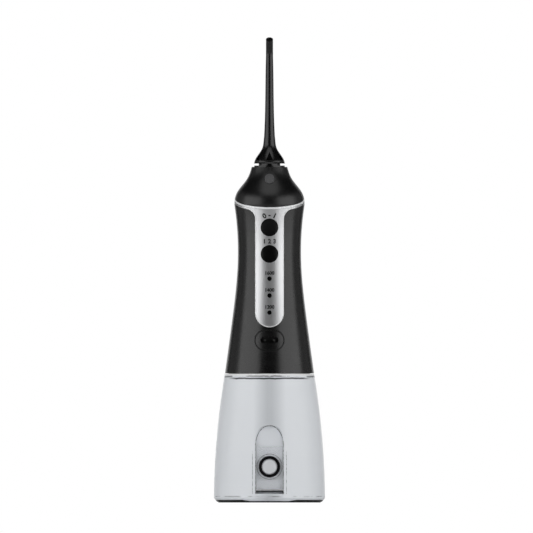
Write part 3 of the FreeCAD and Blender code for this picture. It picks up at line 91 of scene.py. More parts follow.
# ------------------------------------------------------------------------------------ shader kit
class Sock:
    """One output of a shader node. Arithmetic on it adds Math nodes."""

    def __init__(self, graph: "Graph", socket: bpy.types.NodeSocket) -> None:
        """Wrap a socket.

        Args:
            graph: The node graph that the socket belongs to.
            socket: The output socket.
        """
        self.graph = graph
        self.socket = socket

    def __add__(self, other: "Value") -> "Sock":
        """Sum."""
        return self.graph.maths("ADD", self, other)

    def __radd__(self, other: "Value") -> "Sock":
        """Sum, with the number first."""
        return self.graph.maths("ADD", other, self)

    def __sub__(self, other: "Value") -> "Sock":
        """Difference."""
        return self.graph.maths("SUBTRACT", self, other)

    def __rsub__(self, other: "Value") -> "Sock":
        """Difference, with the number first."""
        return self.graph.maths("SUBTRACT", other, self)

    def __mul__(self, other: "Value") -> "Sock":
        """Product."""
        return self.graph.maths("MULTIPLY", self, other)

    def __rmul__(self, other: "Value") -> "Sock":
        """Product, with the number first."""
        return self.graph.maths("MULTIPLY", other, self)

    def __truediv__(self, other: "Value") -> "Sock":
        """Quotient."""
        return self.graph.maths("DIVIDE", self, other)

    def __abs__(self) -> "Sock":
        """Size without the sign."""
        return self.graph.maths("ABSOLUTE", self)

    def clipped(self) -> "Sock":
        """The value held between 0 and 1."""
        return self.graph.maths("MINIMUM", self.graph.maths("MAXIMUM", self, 0.0), 1.0)

    def above(self, edge: float, width: float) -> "Sock":
        """A soft step from 0 to 1.

        Args:
            edge: Where the step is half way up.
            width: How wide the step is.

        Returns:
            The step.
        """
        return ((self - (edge - width / 2)) / width).clipped()


Value = Union[Sock, int, float]


Owner = Union[bpy.types.Material, bpy.types.World]


class Graph:
    """The node graph of a material or of the world, built from the shader outwards."""

    def __init__(self, name: str, world: bool = False) -> None:
        """Make an empty material or world.

        Args:
            name: Its name.
            world: Whether it is a world.
        """
        self.owner: Owner = bpy.data.worlds.new(name) if world else bpy.data.materials.new(name)
        self.owner.use_nodes = True
        self.tree = self.owner.node_tree
        self.tree.nodes.clear()
        ending = "ShaderNodeOutputWorld" if world else "ShaderNodeOutputMaterial"
        self.output = self.tree.nodes.new(ending)

    def add(self, kind: str, settings: Optional[dict] = None, inputs: Optional[dict] = None,
            output: Union[int, str] = 0) -> Sock:
        """Add one node.

        Args:
            kind: The node's type.
            settings: Properties that are set before its sockets.
            inputs: Socket names or numbers, with values or links.
            output: Which output is returned.

        Returns:
            The chosen output.
        """
        node = self.tree.nodes.new(kind)
        for name, setting in (settings or {}).items():
            setattr(node, name, setting)
        for name, item in (inputs or {}).items():
            if isinstance(item, Sock):
                self.tree.links.new(item.socket, node.inputs[name])
            else:
                node.inputs[name].default_value = item
        return Sock(self, node.outputs[output])

    def maths(self, operation: str, first: Value, second: Value = 0.0) -> Sock:
        """A Math node on two values.

        Args:
            operation: The node's operation.
            first: First operand.
            second: Second operand.

        Returns:
            The result.
        """
        return self.add("ShaderNodeMath", {"operation": operation}, {0: first, 1: second})

    def place(self) -> Sock:
        """Object coordinates, in metres."""
        return self.add("ShaderNodeTexCoord", output="Object")

    def axes(self) -> tuple[Sock, Sock, Sock]:
        """Object coordinates along X, Y and Z, in metres."""
        split = self.add("ShaderNodeSeparateXYZ", {}, {0: self.place()}).socket.node
        across, behind, up = (Sock(self, split.outputs[axis]) for axis in "XYZ")
        return across, behind, up

    def reach(self, first: Sock, second: Sock) -> Sock:
        """The length of a flat vector.

        Args:
            first: Its first part.
            second: Its second part.

        Returns:
            The length.
        """
        return self.maths("SQRT", first * first + second * second)

    def stretched(self, scale: Colour) -> Sock:
        """Object coordinates, scaled along each axis.

        Args:
            scale: The three factors.

        Returns:
            The scaled coordinates.
        """
        return self.add("ShaderNodeMapping", {}, {"Vector": self.place(), "Scale": scale})

    def noise(self, scale: float, detail: float = 2.0, rough: float = 0.5,
              where: Optional[Sock] = None) -> Sock:
        """Fractal noise from 0 to 1.

        Args:
            scale: Features per metre.
            detail: Octaves.
            rough: Share of the fine octaves.
            where: Coordinates; the object's own if left out.

        Returns:
            The noise value.
        """
        return self.add("ShaderNodeTexNoise", {"noise_dimensions": "3D"},
                        {"Vector": where or self.place(), "Scale": scale, "Detail": detail,
                         "Roughness": rough})

    def mix(self, factor: Value, first: Union[Sock, Colour], second: Union[Sock, Colour]) -> Sock:
        """Blend two colours.

        Args:
            factor: Share of the second.
            first: First colour.
            second: Second colour.

        Returns:
            The blended colour.
        """
        pair = [item if isinstance(item, Sock) else (*item, 1.0) for item in (first, second)]
        return self.add("ShaderNodeMix", {"data_type": "RGBA"}, {0: factor, 6: pair[0], 7: pair[1]}, 2)

    def bump(self, height: Sock, depth: float) -> Sock:
        """Surface relief.

        Args:
            height: Height from 0 to 1.
            depth: How deep a height of 1 is, in metres.

        Returns:
            The bent normal.
        """
        return self.add("ShaderNodeBump", {}, {"Height": height, "Distance": depth, "Strength": 1.0})

    def surface(self, **inputs: Union[Value, Sock, Colour]) -> bpy.types.Material:
        """Finish the material with a Principled shader.

        Args:
            **inputs: Socket names, with _ for a space.

        Returns:
            The material.
        """
        sockets = {}
        for name, item in inputs.items():
            if isinstance(item, tuple) and len(item) == 3:
                item = (*item, 1.0)
            sockets[name.replace("_", " ")] = item
        return self.close(self.add("ShaderNodeBsdfPrincipled", {}, sockets))

    def close(self, shader: Sock) -> Owner:
        """Finish the material or world with any shader.

        Args:
            shader: The shader.

        Returns:
            The material or world.
        """
        self.tree.links.new(shader.socket, self.output.inputs["Surface"])
        return self.owner


# ------------------------------------------------------------------------------------ finishes
@dataclass(frozen=True)
class MouldedPlastic:
    """Opaque moulded plastic with a spark-eroded grain and handling marks."""

    name: str
    colour: Colour
    roughness: float
    grain: float = 2600.0
    grain_depth: float = 4e-6
    marks: float = 0.05
    specular: float = 0.5

    def make(self) -> bpy.types.Material:
        """Build the material."""
        graph = Graph(self.name)
        grain = graph.noise(self.grain, 3.0, 0.6)
        cloud = graph.noise(38.0, 3.0, 0.55)
        smudge = graph.noise(150.0, 4.0, 0.7).above(0.56, 0.12)
        lighter = tuple(min(1.0, channel * 1.25 + 0.0006) for channel in self.colour)
        colour = graph.mix(cloud * 0.55, self.colour, lighter)
        rough = self.roughness + (grain - 0.5) * self.marks + smudge * self.marks * 0.7
        rough = self.groove(graph, rough)
        return graph.surface(Base_Color=colour, Roughness=rough, Specular_IOR_Level=self.specular,
                             Normal=graph.bump(grain, self.grain_depth))

    def groove(self, graph: Graph, rough: Sock) -> Sock:
        """Roughness with the piece's dull grooves; plain plastic has none.

        Args:
            graph: The material's graph; plain plastic does not use it.
            rough: The roughness without them.

        Returns:
            The roughness.
        """
        return rough


@dataclass(frozen=True)
class GripPlastic(MouldedPlastic):
    """The grip's plastic, with a dull seam line around the charging inlet."""

    inlet_up: float = 104.6 * MM
    inlet_half: float = 9.35 * MM
    inlet_half_tall: float = 6.6 * MM
    seam_half: float = 0.30 * MM
    seam_rough: float = 1.0
    seam_soft: float = 0.15 * MM
    front_edge: float = -15 * MM
    front_soft: float = 2 * MM

    def groove(self, graph: Graph, rough: Sock) -> Sock:
        """Roughness with the dull seam around the inlet.

        Args:
            graph: The material's graph.
            rough: The roughness without it.

        Returns:
            The roughness.
        """
        across, behind, up = graph.axes()
        wide = graph.maths("MAXIMUM", abs(across) - (self.inlet_half - self.inlet_half_tall), 0.0)
        off = abs(graph.reach(wide, up - self.inlet_up) - self.inlet_half_tall)
        front = 1.0 - behind.above(self.front_edge, self.front_soft)
        seam = (1.0 - off.above(self.seam_half, self.seam_soft)) * front
        return rough + seam * (self.seam_rough - self.roughness)


@dataclass(frozen=True)
class BrushedMetal:
    """Metal with fine straight brush lines."""

    name: str
    colour: Colour
    roughness: float
    along: Colour = (5200.0, 5200.0, 90.0)
    depth: float = 1.5e-6
    metallic: float = 1.0

    def make(self) -> bpy.types.Material:
        """Build the material."""
        graph = Graph(self.name)
        lines = graph.noise(1.0, 3.0, 0.7, graph.stretched(self.along))
        cloud = graph.noise(60.0, 2.0, 0.5)
        darker = tuple(channel * 0.88 for channel in self.colour)
        colour = graph.mix(lines * 0.6 + cloud * 0.3, self.colour, darker)
        rough = self.roughness + (lines - 0.5) * 0.10 + (cloud - 0.5) * 0.06
        return graph.surface(Base_Color=colour, Metallic=self.metallic, Roughness=rough,
                             Normal=graph.bump(lines, self.depth))


@dataclass(frozen=True)
class ClearPlastic:
    """Clear plastic with a faint frost inside and fine polishing marks."""

    name: str
    colour: Colour
    roughness: float
    clarity: float = 1.0
    frost: float = 0.35

    def shade(self, graph: Graph, tint: Sock) -> bpy.types.Material:
        """Finish the material from its tint.

        Args:
            graph: The graph to finish.
            tint: The colour of the plastic.

        Returns:
            The material.
        """
        cloud = graph.noise(45.0, 3.0, 0.5)
        marks = graph.noise(1.0, 3.0, 0.6, graph.stretched((1500.0, 1500.0, 300.0)))
        rough = self.roughness + (cloud - 0.5) * 0.04 + (marks - 0.5) * 0.05
        bent = graph.bump(marks, 6e-7)
        clear = graph.add("ShaderNodeBsdfPrincipled", {}, {
            "Base Color": tint, "Roughness": rough, "IOR": 1.46, "Transmission Weight": self.clarity,
            "Normal": bent})
        milky = graph.add("ShaderNodeBsdfPrincipled", {}, {
            "Base Color": tint, "Roughness": rough, "IOR": 1.46, "Normal": bent})
        blend = self.frost + (cloud - 0.5) * 0.03
        return graph.close(graph.add("ShaderNodeMixShader", {}, {0: blend, 1: clear, 2: milky}))

    def make(self) -> bpy.types.Material:
        """Build the material."""
        graph = Graph(self.name)
        pale = tuple(channel * 0.97 for channel in self.colour)
        return self.shade(graph, graph.mix(graph.noise(45.0, 3.0, 0.5), self.colour, pale))


@dataclass(frozen=True)
class TankPlastic(ClearPlastic):
    """The tank's frosted plastic, with painted shade: dark lines along its thick edges and around the door's
    recess that stand in for refraction, a darker band down the front's middle and a black band along the
    base. The door's recess and a band along the mouth are painted lighter, as painted light and a painted
    highlight.
    """

    recess_half: float = 9.05 * MM
    recess_spring: float = 36.5 * MM
    recess_squeeze: float = 9.05 / 13.1
    recess_low: float = 5.6 * MM
    frame_half: float = 10.95 * MM
    frame_top: float = 32.0 * MM
    line_half: float = 0.17 * MM
    foot_soft: float = 0.4 * MM
    front_edge: float = -20 * MM
    front_soft: float = 2 * MM
    rim_up: float = 80.0 * MM
    rim_half: float = 0.46 * MM
    rim_sway: float = 1.3 * MM
    high_up: float = 81.5 * MM
    high_half: float = 0.32 * MM
    corner_up: float = 81.2 * MM
    corner_half: float = 0.5 * MM
    corner_from: float = 24 * MM
    floor_up: float = 3.9 * MM
    floor_half: float = 0.35 * MM
    foot_up: float = 0.95 * MM
    foot_rise: float = 0.8 * MM
    mouth_up: float = 81.9 * MM
    back_wall: float = -34.6 * MM
    # Black of the painted shade lines and of the band along the base.
    shade_and_seal_black: Colour = (0.004, 0.004, 0.005)
    # Painted light: a lighter colour inside the door's recess.
    recess_painted_light: Colour = (0.86, 0.89, 0.93)
    # Painted shade: a darker colour for the band down the front's middle.
    middle_painted_shade: Colour = (0.68, 0.705, 0.735)
    # Painted highlight: a whiter colour for the band along the mouth.
    mouth_painted_highlight: Colour = (0.97, 0.975, 0.98)
    middle_half: float = 6.0 * MM
    middle_soft: float = 9 * MM

    def line(self, distance: Sock, half: float) -> Sock:
        """A soft-edged line.

        Args:
            distance: Distance from its middle.
            half: Half of its width.

        Returns:
            1 on the line and 0 off it.
        """
        return 1.0 - distance.above(half, half)

    def make(self) -> bpy.types.Material:
        """Build the material."""
        graph = Graph(self.name)
        across, behind, up = graph.axes()
        front = 1.0 - behind.above(self.front_edge, self.front_soft)
        wide = abs(across)
        low = up.above(self.recess_low, self.foot_soft)
        over = graph.maths("MAXIMUM", up - self.recess_spring, 0.0) * self.recess_squeeze
        round_way = graph.reach(wide, over)
        # Painted shade: broken dark lines around the door's recess and down its frame stand in for refraction
        # at the thick edges.
        arch = self.line(abs(round_way - self.recess_half), self.line_half) * low
        frame = self.line(abs(wide - self.frame_half), self.line_half * 0.8)
        frame = frame * low * (1.0 - up.above(self.frame_top, 4 * MM))
        broken = graph.noise(900.0, 2.0, 0.6).above(0.48, 0.12)
        arcs = (arch + frame * 0.9) * (broken * 0.7 + 0.3) * front
        ripple = graph.noise(1.0, 3.0, 0.6, graph.stretched((110.0, 110.0, 20.0)))
        sway = (ripple - 0.5) * self.rim_sway
        # Painted shade: ragged dark lines along the thick top rim, its corners and the thick floor stand in
        # for refraction there.
        rim = self.line(abs(up - self.rim_up + sway), self.rim_half)
        rim = rim * (1.0 - wide.above(self.corner_from, 5 * MM))
        high = self.line(abs(up - self.high_up - sway), self.high_half)
        high = high * (1.0 - wide.above(17 * MM, 6 * MM)) * ripple.above(0.44, 0.12)
        corner = self.line(abs(up - self.corner_up + sway), self.corner_half)
        corner = corner * wide.above(self.corner_from, MM)
        floor = self.line(abs(up - self.floor_up), self.floor_half) * ripple.above(0.52, 0.16)
        # A black band along the base, higher at the sides: partly the foot ring that would show through,
        # partly painted shade under the tank.
        lifted = up - wide.above(15 * MM, 5 * MM) * self.foot_rise
        foot = 1.0 - lifted.above(self.foot_up, 0.3 * MM)
        dark = (arcs + rim + high * 0.85 + corner * 0.7 + floor * 0.5 + foot).clipped()
        pale = tuple(channel * 0.97 for channel in self.colour)
        body = graph.mix(graph.noise(45.0, 3.0, 0.5), self.colour, pale)
        # Painted shade: a darker band down the middle of the front.
        middle = (1.0 - wide.above(self.middle_half, self.middle_soft)) * front
        body = graph.mix(middle, body, self.middle_painted_shade)
        # Painted light: the inside of the door's recess is made lighter.
        inside = 1.0 - round_way.above(self.recess_half, 0.2 * MM)
        inside = inside * up.above(self.recess_low, 0.2 * MM)
        inside = inside * front * behind.above(self.back_wall, 0.4 * MM)
        body = graph.mix(inside, body, self.recess_painted_light)
        # Painted highlight: a whiter band along the mouth.
        tint = graph.mix(up.above(self.mouth_up, 0.4 * MM), body, self.mouth_painted_highlight)
        return self.shade(graph, graph.mix(dark, tint, self.shade_and_seal_black))


@dataclass(frozen=True)
class DoorPlastic:
    """Thin clear plastic that lets light straight through, with painted shade: a dark ring line around its
    seal that stands in for refraction at the groove's edge and a dark band along the hinge gap. The seal's
    own black is painted over the seal.
    """

    name: str = "door_clear"
    colour: Colour = (0.88, 0.90, 0.93)
    pale: Colour = (0.84, 0.86, 0.89)
    # Black of the painted shade line around the groove and along the hinge gap, and of the seal painted over
    # it.
    shade_and_seal_black: Colour = (0.003, 0.003, 0.004)
    roughness: float = 0.16
    cover: float = 0.10
    half: float = 8.8 * MM
    top: float = 36.2 * MM
    rim: float = 0.35 * MM
    ring_up: float = 23.1 * MM
    ring_radius: float = 8.15 * MM
    plug_radius: float = 4.55 * MM
    seal_radius: float = 6.0 * MM
    seal_half: float = 0.95 * MM
    line_half: float = 0.13 * MM
    # Top of the painted shade band along the hinge gap.
    hinge_shade_top: float = 7.5 * MM

    def make(self) -> bpy.types.Material:
        """Build the material."""
        graph = Graph(self.name)
        across, _, up = graph.axes()
        reach = graph.reach(across, up - self.ring_up)
        # Painted shade: a broken dark ring around the seal stands in for refraction at the groove's edge.
        ring = 1.0 - abs(reach - self.ring_radius).above(self.line_half, self.line_half)
        edge = ring * (graph.noise(900.0, 2.0, 0.6).above(0.46, 0.14) * 0.6 + 0.4)
        # The seal's own black, painted on the door where the seal lies behind it.
        seal = 1.0 - abs(reach - self.seal_radius).above(self.seal_half, 0.15 * MM)
        # Painted shade: a dark band along the hinge gap at the door's foot.
        hinge_gap_shade = 1.0 - up.above(self.hinge_shade_top, 0.2 * MM)
        side = abs(across).above(self.half - self.rim, self.rim)
        border = graph.maths("MAXIMUM", side, up.above(self.top - self.rim, self.rim))
        dark = (edge + seal + hinge_gap_shade).clipped()
        plug = 1.0 - reach.above(self.plug_radius, 0.2 * MM)
        cloud = graph.noise(60.0, 3.0, 0.5)
        marks = graph.noise(1.0, 3.0, 0.6, graph.stretched((1500.0, 1500.0, 300.0)))
        tint = graph.mix(dark, graph.mix(cloud, self.colour, self.pale), self.shade_and_seal_black)
        cover = self.cover + (cloud - 0.5) * 0.03 + plug * 0.75 + border * 0.3 + dark * 0.9
        return graph.surface(Base_Color=tint, Roughness=self.roughness + (marks - 0.5) * 0.06,
                             Alpha=cover.clipped(), Normal=graph.bump(marks, 4e-7))


@dataclass(frozen=True)
class Rubber:
    """Satin silicone rubber with a fine bloom."""

    name: str
    colour: Colour
    roughness: float = 0.55

    def make(self) -> bpy.types.Material:
        """Build the material."""
        graph = Graph(self.name)
        bloom = graph.noise(420.0, 4.0, 0.6)
        pits = graph.noise(3800.0, 2.0, 0.5)
        paler = tuple(channel * 1.6 + 0.004 for channel in self.colour)
        return graph.surface(Base_Color=graph.mix(bloom * 0.6, self.colour, paler),
                             Roughness=self.roughness + (bloom - 0.5) * 0.16, Sheen_Weight=0.08,
                             Normal=graph.bump(pits, 3e-6))


Recipe = Union[MouldedPlastic, BrushedMetal, ClearPlastic, DoorPlastic, Rubber]


class Finish(Enum):
    """The finishes of the object's pieces, by material slot."""

    CLEAR = "clear_plastic"
    RUBBER = "black_rubber"
    STEEL = "bright_steel"
    SATIN = "satin_black"
    GLOSS = "gloss_black"
    SILVER = "silver_trim"
    RESIN = "white_resin"
    HOSE = "clear_hose"
    MOTOR = "motor_steel"
    BRASS = "gear_brass"
    CELL = "cell_wrap"
    NICKEL = "nickel_tab"
    BOARD = "board_green"
    CHIP = "chip_black"
    LAMP = "lamp_resin"


RECIPES = {
    Finish.CLEAR: TankPlastic("tank_clear", (0.90, 0.93, 0.965), 0.32, 1.0, 0.95),
    Finish.RUBBER: Rubber("seal_rubber", (0.010, 0.010, 0.011)),
    Finish.STEEL: BrushedMetal("bright_steel", (0.62, 0.62, 0.63), 0.22, (2600.0, 2600.0, 2600.0)),
    Finish.SATIN: GripPlastic("satin_black", (0.0008, 0.0008, 0.0009), 0.275, marks=0.04,
                              grain_depth=1.5e-6),
    Finish.GLOSS: MouldedPlastic("gloss_black", (0.0008, 0.0008, 0.0009), 0.25, grain=900.0,
                                 grain_depth=6e-7, marks=0.03),
    Finish.SILVER: BrushedMetal("silver_trim", (0.61, 0.615, 0.625), 0.375, depth=2e-7),
    Finish.RESIN: MouldedPlastic("white_resin", (0.70, 0.70, 0.68), 0.42, grain=1800.0, marks=0.08),
    Finish.HOSE: ClearPlastic("clear_hose", (0.80, 0.83, 0.83), 0.25, 0.9, 0.2),
    Finish.MOTOR: BrushedMetal("motor_steel", (0.46, 0.46, 0.47), 0.34, (2600.0, 90.0, 2600.0)),
    Finish.BRASS: BrushedMetal("gear_brass", (0.72, 0.53, 0.24), 0.26, (3000.0, 3000.0, 3000.0)),
    Finish.CELL: MouldedPlastic("cell_wrap", (0.035, 0.16, 0.33), 0.24, grain=600.0, marks=0.06),
    Finish.NICKEL: BrushedMetal("nickel_tab", (0.60, 0.58, 0.53), 0.30, (400.0, 4000.0, 400.0)),
    Finish.BOARD: MouldedPlastic("board_green", (0.016, 0.13, 0.055), 0.33, grain=700.0, marks=0.10),
    Finish.CHIP: MouldedPlastic("chip_black", (0.018, 0.018, 0.018), 0.5, grain=2400.0, marks=0.08),
    Finish.LAMP: ClearPlastic("lamp_resin", (0.62, 0.72, 0.82), 0.12, 0.8, 0.15),
}


class Wardrobe:
    """Makes each finish once and dresses pieces with it."""

    def __init__(self) -> None:
        """Start with nothing made."""
        self.made: dict[str, bpy.types.Material] = {}

    def get(self, recipe: Recipe) -> bpy.types.Material:
        """The recipe's material, made on first use."""
        if recipe.name not in self.made:
            self.made[recipe.name] = recipe.make()
        return self.made[recipe.name]

    def dress(self, piece: bpy.types.Object, finish: Finish,
              recipe: Optional[Recipe] = None) -> None:
        """Give a piece its material and its slot.

        Args:
            piece: The object.
            finish: The finish that its slot is named for.
            recipe: A variant to use in place of the finish's own recipe.
        """
        piece.data.materials.clear()
        piece.data.materials.append(self.get(recipe or RECIPES[finish]))
        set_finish(piece, finish.value)


# ------------------------------------------------------------------------------------ mesh kit
def new_piece(name: str, verts: Iterable[Sequence[float]], faces: Iterable[Sequence[int]],
              body: str, smooth: bool = True) -> bpy.types.Object:
    """Make a mesh object that rides on a body.

    Args:
        name: The piece's name.
        verts: Corner points, in metres.
        faces: Corner numbers of each face.
        body: The body that it moves with.
        smooth: Whether its faces shade smoothly.

    Returns:
        The object.
    """
    mesh = bpy.data.meshes.new(name)
    mesh.from_pydata([tuple(point) for point in verts], [], [tuple(face) for face in faces])
    mesh.validate()
    work = bmesh.new()
    work.from_mesh(mesh)
    bmesh.ops.recalc_face_normals(work, faces=work.faces)
    work.to_mesh(mesh)
    work.free()
    mesh.shade_smooth() if smooth else mesh.shade_flat()
    piece = bpy.data.objects.new(name, mesh)
    bpy.context.scene.collection.objects.link(piece)
    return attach(piece, body)


def sweep(path: Sequence[Vector], section: Sequence[tuple[float, float]], side: Callable[[int], Vector],
          closed: bool) -> tuple[list[Vector], list[list[int]]]:
    """Carry a closed section along a path.

    Args:
        path: The path's points.
        section: Offsets of the section's corners, sideways and outwards.
        side: The sideways direction at each point of the path.
        closed: Whether the path joins its own start.

    Returns:
        Corner points and faces.
    """
    verts: list[Vector] = []
    count, ring = len(path), len(section)
    for index, point in enumerate(path):
        across = side(index)
        for offset, lift in section:
            verts.append(point + across * offset + Vector((0.0, -lift, 0.0)))
    faces = []
    for index in range(count if closed else count - 1):
        after = (index + 1) % count
        for corner in range(ring):
            beside = (corner + 1) % ring
            faces.append([index * ring + corner, index * ring + beside, after * ring + beside,
                          after * ring + corner])
    if not closed:
        faces.append(list(range(ring)))
        faces.append([(count - 1) * ring + corner for corner in reversed(range(ring))])
    return verts, faces


class Front:
    """The front surface of one CAD node, which marks and trims are laid on."""

    def __init__(self, node: bpy.types.Object) -> None:
        """Index the node's faces.

        Args:
            node: The CAD node's object.
        """
        mesh = node.data
        self.tree = BVHTree.FromPolygons([v.co for v in mesh.vertices], [p.vertices for p in mesh.polygons])

    def at(self, across: float, up: float) -> Vector:
        """The front surface's point at a place seen from the front.

        Args:
            across: Distance to the right.
            up: Height.

        Returns:
            The point, or one on the axis where the node has a hole.
        """
        hit = self.tree.ray_cast(Vector((across, -0.2, up)), Vector((0, 1, 0)))[0]
        return hit if hit is not None and hit.y < 0 else Vector((across, 0.0, up))


# ------------------------------------------------------------------------------------ sub-assemblies
@dataclass
class Assembly:
    """A sub-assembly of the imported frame, with the looks that belong to it."""

    frame: dict
    wardrobe: Wardrobe

    def build(self) -> None:
        """Add or soften pieces; a sub-assembly that has nothing to add leaves this out."""

    def dress(self) -> None:
        """Give pieces their finishes; a sub-assembly that dresses its own leaves this out."""


@dataclass
class Casing(Assembly):
    """Grip, head cap, ring and front panel, with the panel's bright edge."""

    panel_half: float = 9.25 * MM
    panel_foot: float = 113.0 * MM
    flare_from: float = 182.4 * MM
    flare_half: float = 17.7 * MM
    flare_top: float = 190.6 * MM
    edge_wide: float = 0.58 * MM
    edge_tall: float = 0.22 * MM

    def outline(self) -> list[tuple[float, float]]:
        """The panel's outline seen from the front, from its right shoulder down and up again."""
        half, foot = self.panel_half, self.panel_foot + self.panel_half
        left, right = [], []
        for step in range(13):
            share = step / 12
            across = bezier(share, -half, -half, -self.flare_half + 4 * MM, -self.flare_half)
            up = bezier(share, self.flare_from, self.flare_top - 3 * MM, self.flare_top - 0.9 * MM,
                        self.flare_top)
            left.append((across, up))
            right.append((-across, up))
        straight = [(half, self.flare_from + (foot - self.flare_from) * step / 24) for step in range(1, 24)]
        arc = [(half * math.cos(angle), foot - half * math.sin(angle))
               for angle in (math.pi * step / 36 for step in range(37))]
        back = [(-across, up) for across, up in reversed(straight)]
        return list(reversed(right)) + straight + arc + back + left

    def build(self) -> None:
        """Lay the bright edge along the panel's outline."""
        front = Front(self.frame["nodes"]["front_panel"])
        points = self.outline()
        inset = self.edge_wide / 2
        path = []
        for index, (across, up) in enumerate(points):
            before, after = points[max(index - 1, 0)], points[min(index + 1, len(points) - 1)]
            along = Vector((after[0] - before[0], 0, after[1] - before[1])).normalized()
            inward = Vector((along.z, 0, -along.x))
            path.append((front.at(across + inward.x * inset, up + inward.z * inset), inward))
        half, tall = self.edge_wide / 2, self.edge_tall
        section = [(-half, -0.05 * MM), (-half, tall * 0.4), (-half * 0.4, tall), (half * 0.4, tall),
                   (half, tall * 0.2), (half, -0.05 * MM)]
        verts, faces = sweep([spot for spot, _ in path], section, lambda index: path[index][1], False)
        edge = new_piece("panel_edge", verts, faces, "handle")
        self.wardrobe.dress(edge, Finish.SILVER,
                            BrushedMetal("bright_cut_edge", (0.90, 0.905, 0.91), 0.3, metallic=0.4))

    def dress(self) -> None:
        """Give the casing's nodes their finishes."""
        nodes = self.frame["nodes"]
        for name in ("grip_housing", "inlet_bezel", "charging_socket"):
            self.wardrobe.dress(nodes[name], Finish.SATIN)
        self.wardrobe.dress(nodes["head_cap"], Finish.GLOSS,
                            MouldedPlastic("cap_black", (0.0008, 0.0008, 0.0009), 0.34, grain=900.0,
                                           grain_depth=6e-7, marks=0.03))
        self.wardrobe.dress(nodes["front_panel"], Finish.SILVER)
        self.wardrobe.dress(nodes["trim_ring"], Finish.SILVER,
                            BrushedMetal("ring_silver", (0.92, 0.93, 0.94), 0.36, depth=2e-7, metallic=0.25))


def bezier(share: float, first: float, second: float, third: float, fourth: float) -> float:
    """A cubic curve's value at a share of its way."""
    rest = 1 - share
    return (rest ** 3 * first + 3 * rest ** 2 * share * second
            + 3 * rest * share ** 2 * third + share ** 3 * fourth)


@dataclass
class Marks(Assembly):
    """Printed numbers on the panel: over the keys and over the three lamps."""

    ink_thick: float = 0.03 * MM
    power_at: float = 177.4 * MM
    power_arc: float = 8.0 * MM
    power_tall: float = 3.1 * MM
    power_step: float = 24.0
    mode_at: float = 168.3 * MM
    mode_tall: float = 2.7 * MM
    mode_step: float = 3.3 * MM
    lamp_first: float = 122.5 * MM
    lamp_pitch: float = 10.95 * MM
    number_above: float = 3.5 * MM
    number_tall: float = 2.2 * MM
    type_size: float = 1.42
    type_weight: float = 0.06
    ink_sunk: float = 0.02 * MM
    panel: Front = field(init=False)

    def __post_init__(self) -> None:
        """Index the panel's surface."""
        self.panel = Front(self.frame["nodes"]["front_panel"])

    def number(self, name: str, text: str, tall: float, across: float, up: float, turn: float = 0.0) -> None:
        """Print one number.

        Args:
            name: The piece's name.
            text: Its digits.
            tall: The digits' height.
            across: Its middle's distance to the right.
            up: Its middle's height.
            turn: How far it is turned, in radians.
        """
        curve = bpy.data.curves.new(name + "_text", "FONT")
        curve.body = text
        curve.size = tall * self.type_size
        curve.align_x, curve.align_y = "CENTER", "CENTER"
        curve.offset = tall * self.type_weight
        curve.resolution_u = 4
        holder = bpy.data.objects.new(name + "_text", curve)
        bpy.context.scene.collection.objects.link(holder)
        bpy.context.view_layer.update()
        flat = bpy.data.meshes.new_from_object(holder)
        bpy.data.objects.remove(holder)
        cos, sin = math.cos(turn), math.sin(turn)
        spots = [self.panel.at(across + v.co.x * cos - v.co.y * sin, up + v.co.x * sin + v.co.y * cos)
                 for v in flat.vertices]
        count = len(spots)
        verts = [spot + Vector((0, -self.ink_thick, 0)) for spot in spots]
        verts += [spot + Vector((0, self.ink_sunk, 0)) for spot in spots]
        faces = [list(face.vertices) for face in flat.polygons]
        edges = {(start, end) for face in faces for start, end in zip(face, face[1:] + face[:1])}
        sides = [[start, start + count, end + count, end] for start, end in sorted(edges)
                 if (end, start) not in edges]
        backs = [[corner + count for corner in reversed(face)] for face in faces]
        piece = new_piece(name, verts, faces + backs + sides, "handle", smooth=False)
        self.wardrobe.dress(piece, Finish.SATIN,
                            MouldedPlastic("print_ink", (0.004, 0.004, 0.004), 0.6, specular=0.2))

    def build(self) -> None:
        """Print every number."""
        for index, text in enumerate("0-1"):
            turn = -math.radians(self.power_step) * (index - 1)
            self.number(f"mark_power_{index}", text, self.power_tall, -math.sin(turn) * self.power_arc,
                        self.power_at + math.cos(turn) * self.power_arc, turn)
        for index, text in enumerate("123"):
            self.number(f"mark_mode_{text}", text, self.mode_tall, (index - 1) * self.mode_step, self.mode_at)
        for index, text in enumerate(("1200", "1400", "1600")):
            self.number(f"mark_lamp_{text}", text, self.number_tall, 0.0,
                        self.lamp_first + self.lamp_pitch * index + self.number_above)


@dataclass
class Keys(Assembly):
    """Power and mode keys, release button and lamp lenses."""

    def build(self) -> None:
        """Round the keys' edges."""
        for name, width in (("power_button", 0.35 * MM), ("mode_button", 0.35 * MM),
                            ("release_button", 0.3 * MM), ("inlet_bezel", 0.5 * MM),
                            ("charging_socket", 0.3 * MM)):
            soften(self.frame["nodes"][name], width, 3)

    def dress(self) -> None:
        """Give the keys and lenses their gloss."""
        for name in ("power_button", "mode_button", "lamp_lens_low", "lamp_lens_middle", "lamp_lens_high"):
            self.wardrobe.dress(self.frame["nodes"][name], Finish.GLOSS,
                                MouldedPlastic("key_black", (0.0006, 0.0006, 0.0007), 0.24, grain=900.0,
                                               grain_depth=5e-7, marks=0.03, specular=0.25))
        self.wardrobe.dress(self.frame["nodes"]["release_button"], Finish.GLOSS,
                            MouldedPlastic("release_grey", (0.05, 0.05, 0.052), 0.42, marks=0.05))
        self.wardrobe.dress(self.frame["nodes"]["charging_pins"], Finish.BRASS,
                            BrushedMetal("dull_pin", (0.10, 0.10, 0.10), 0.45))


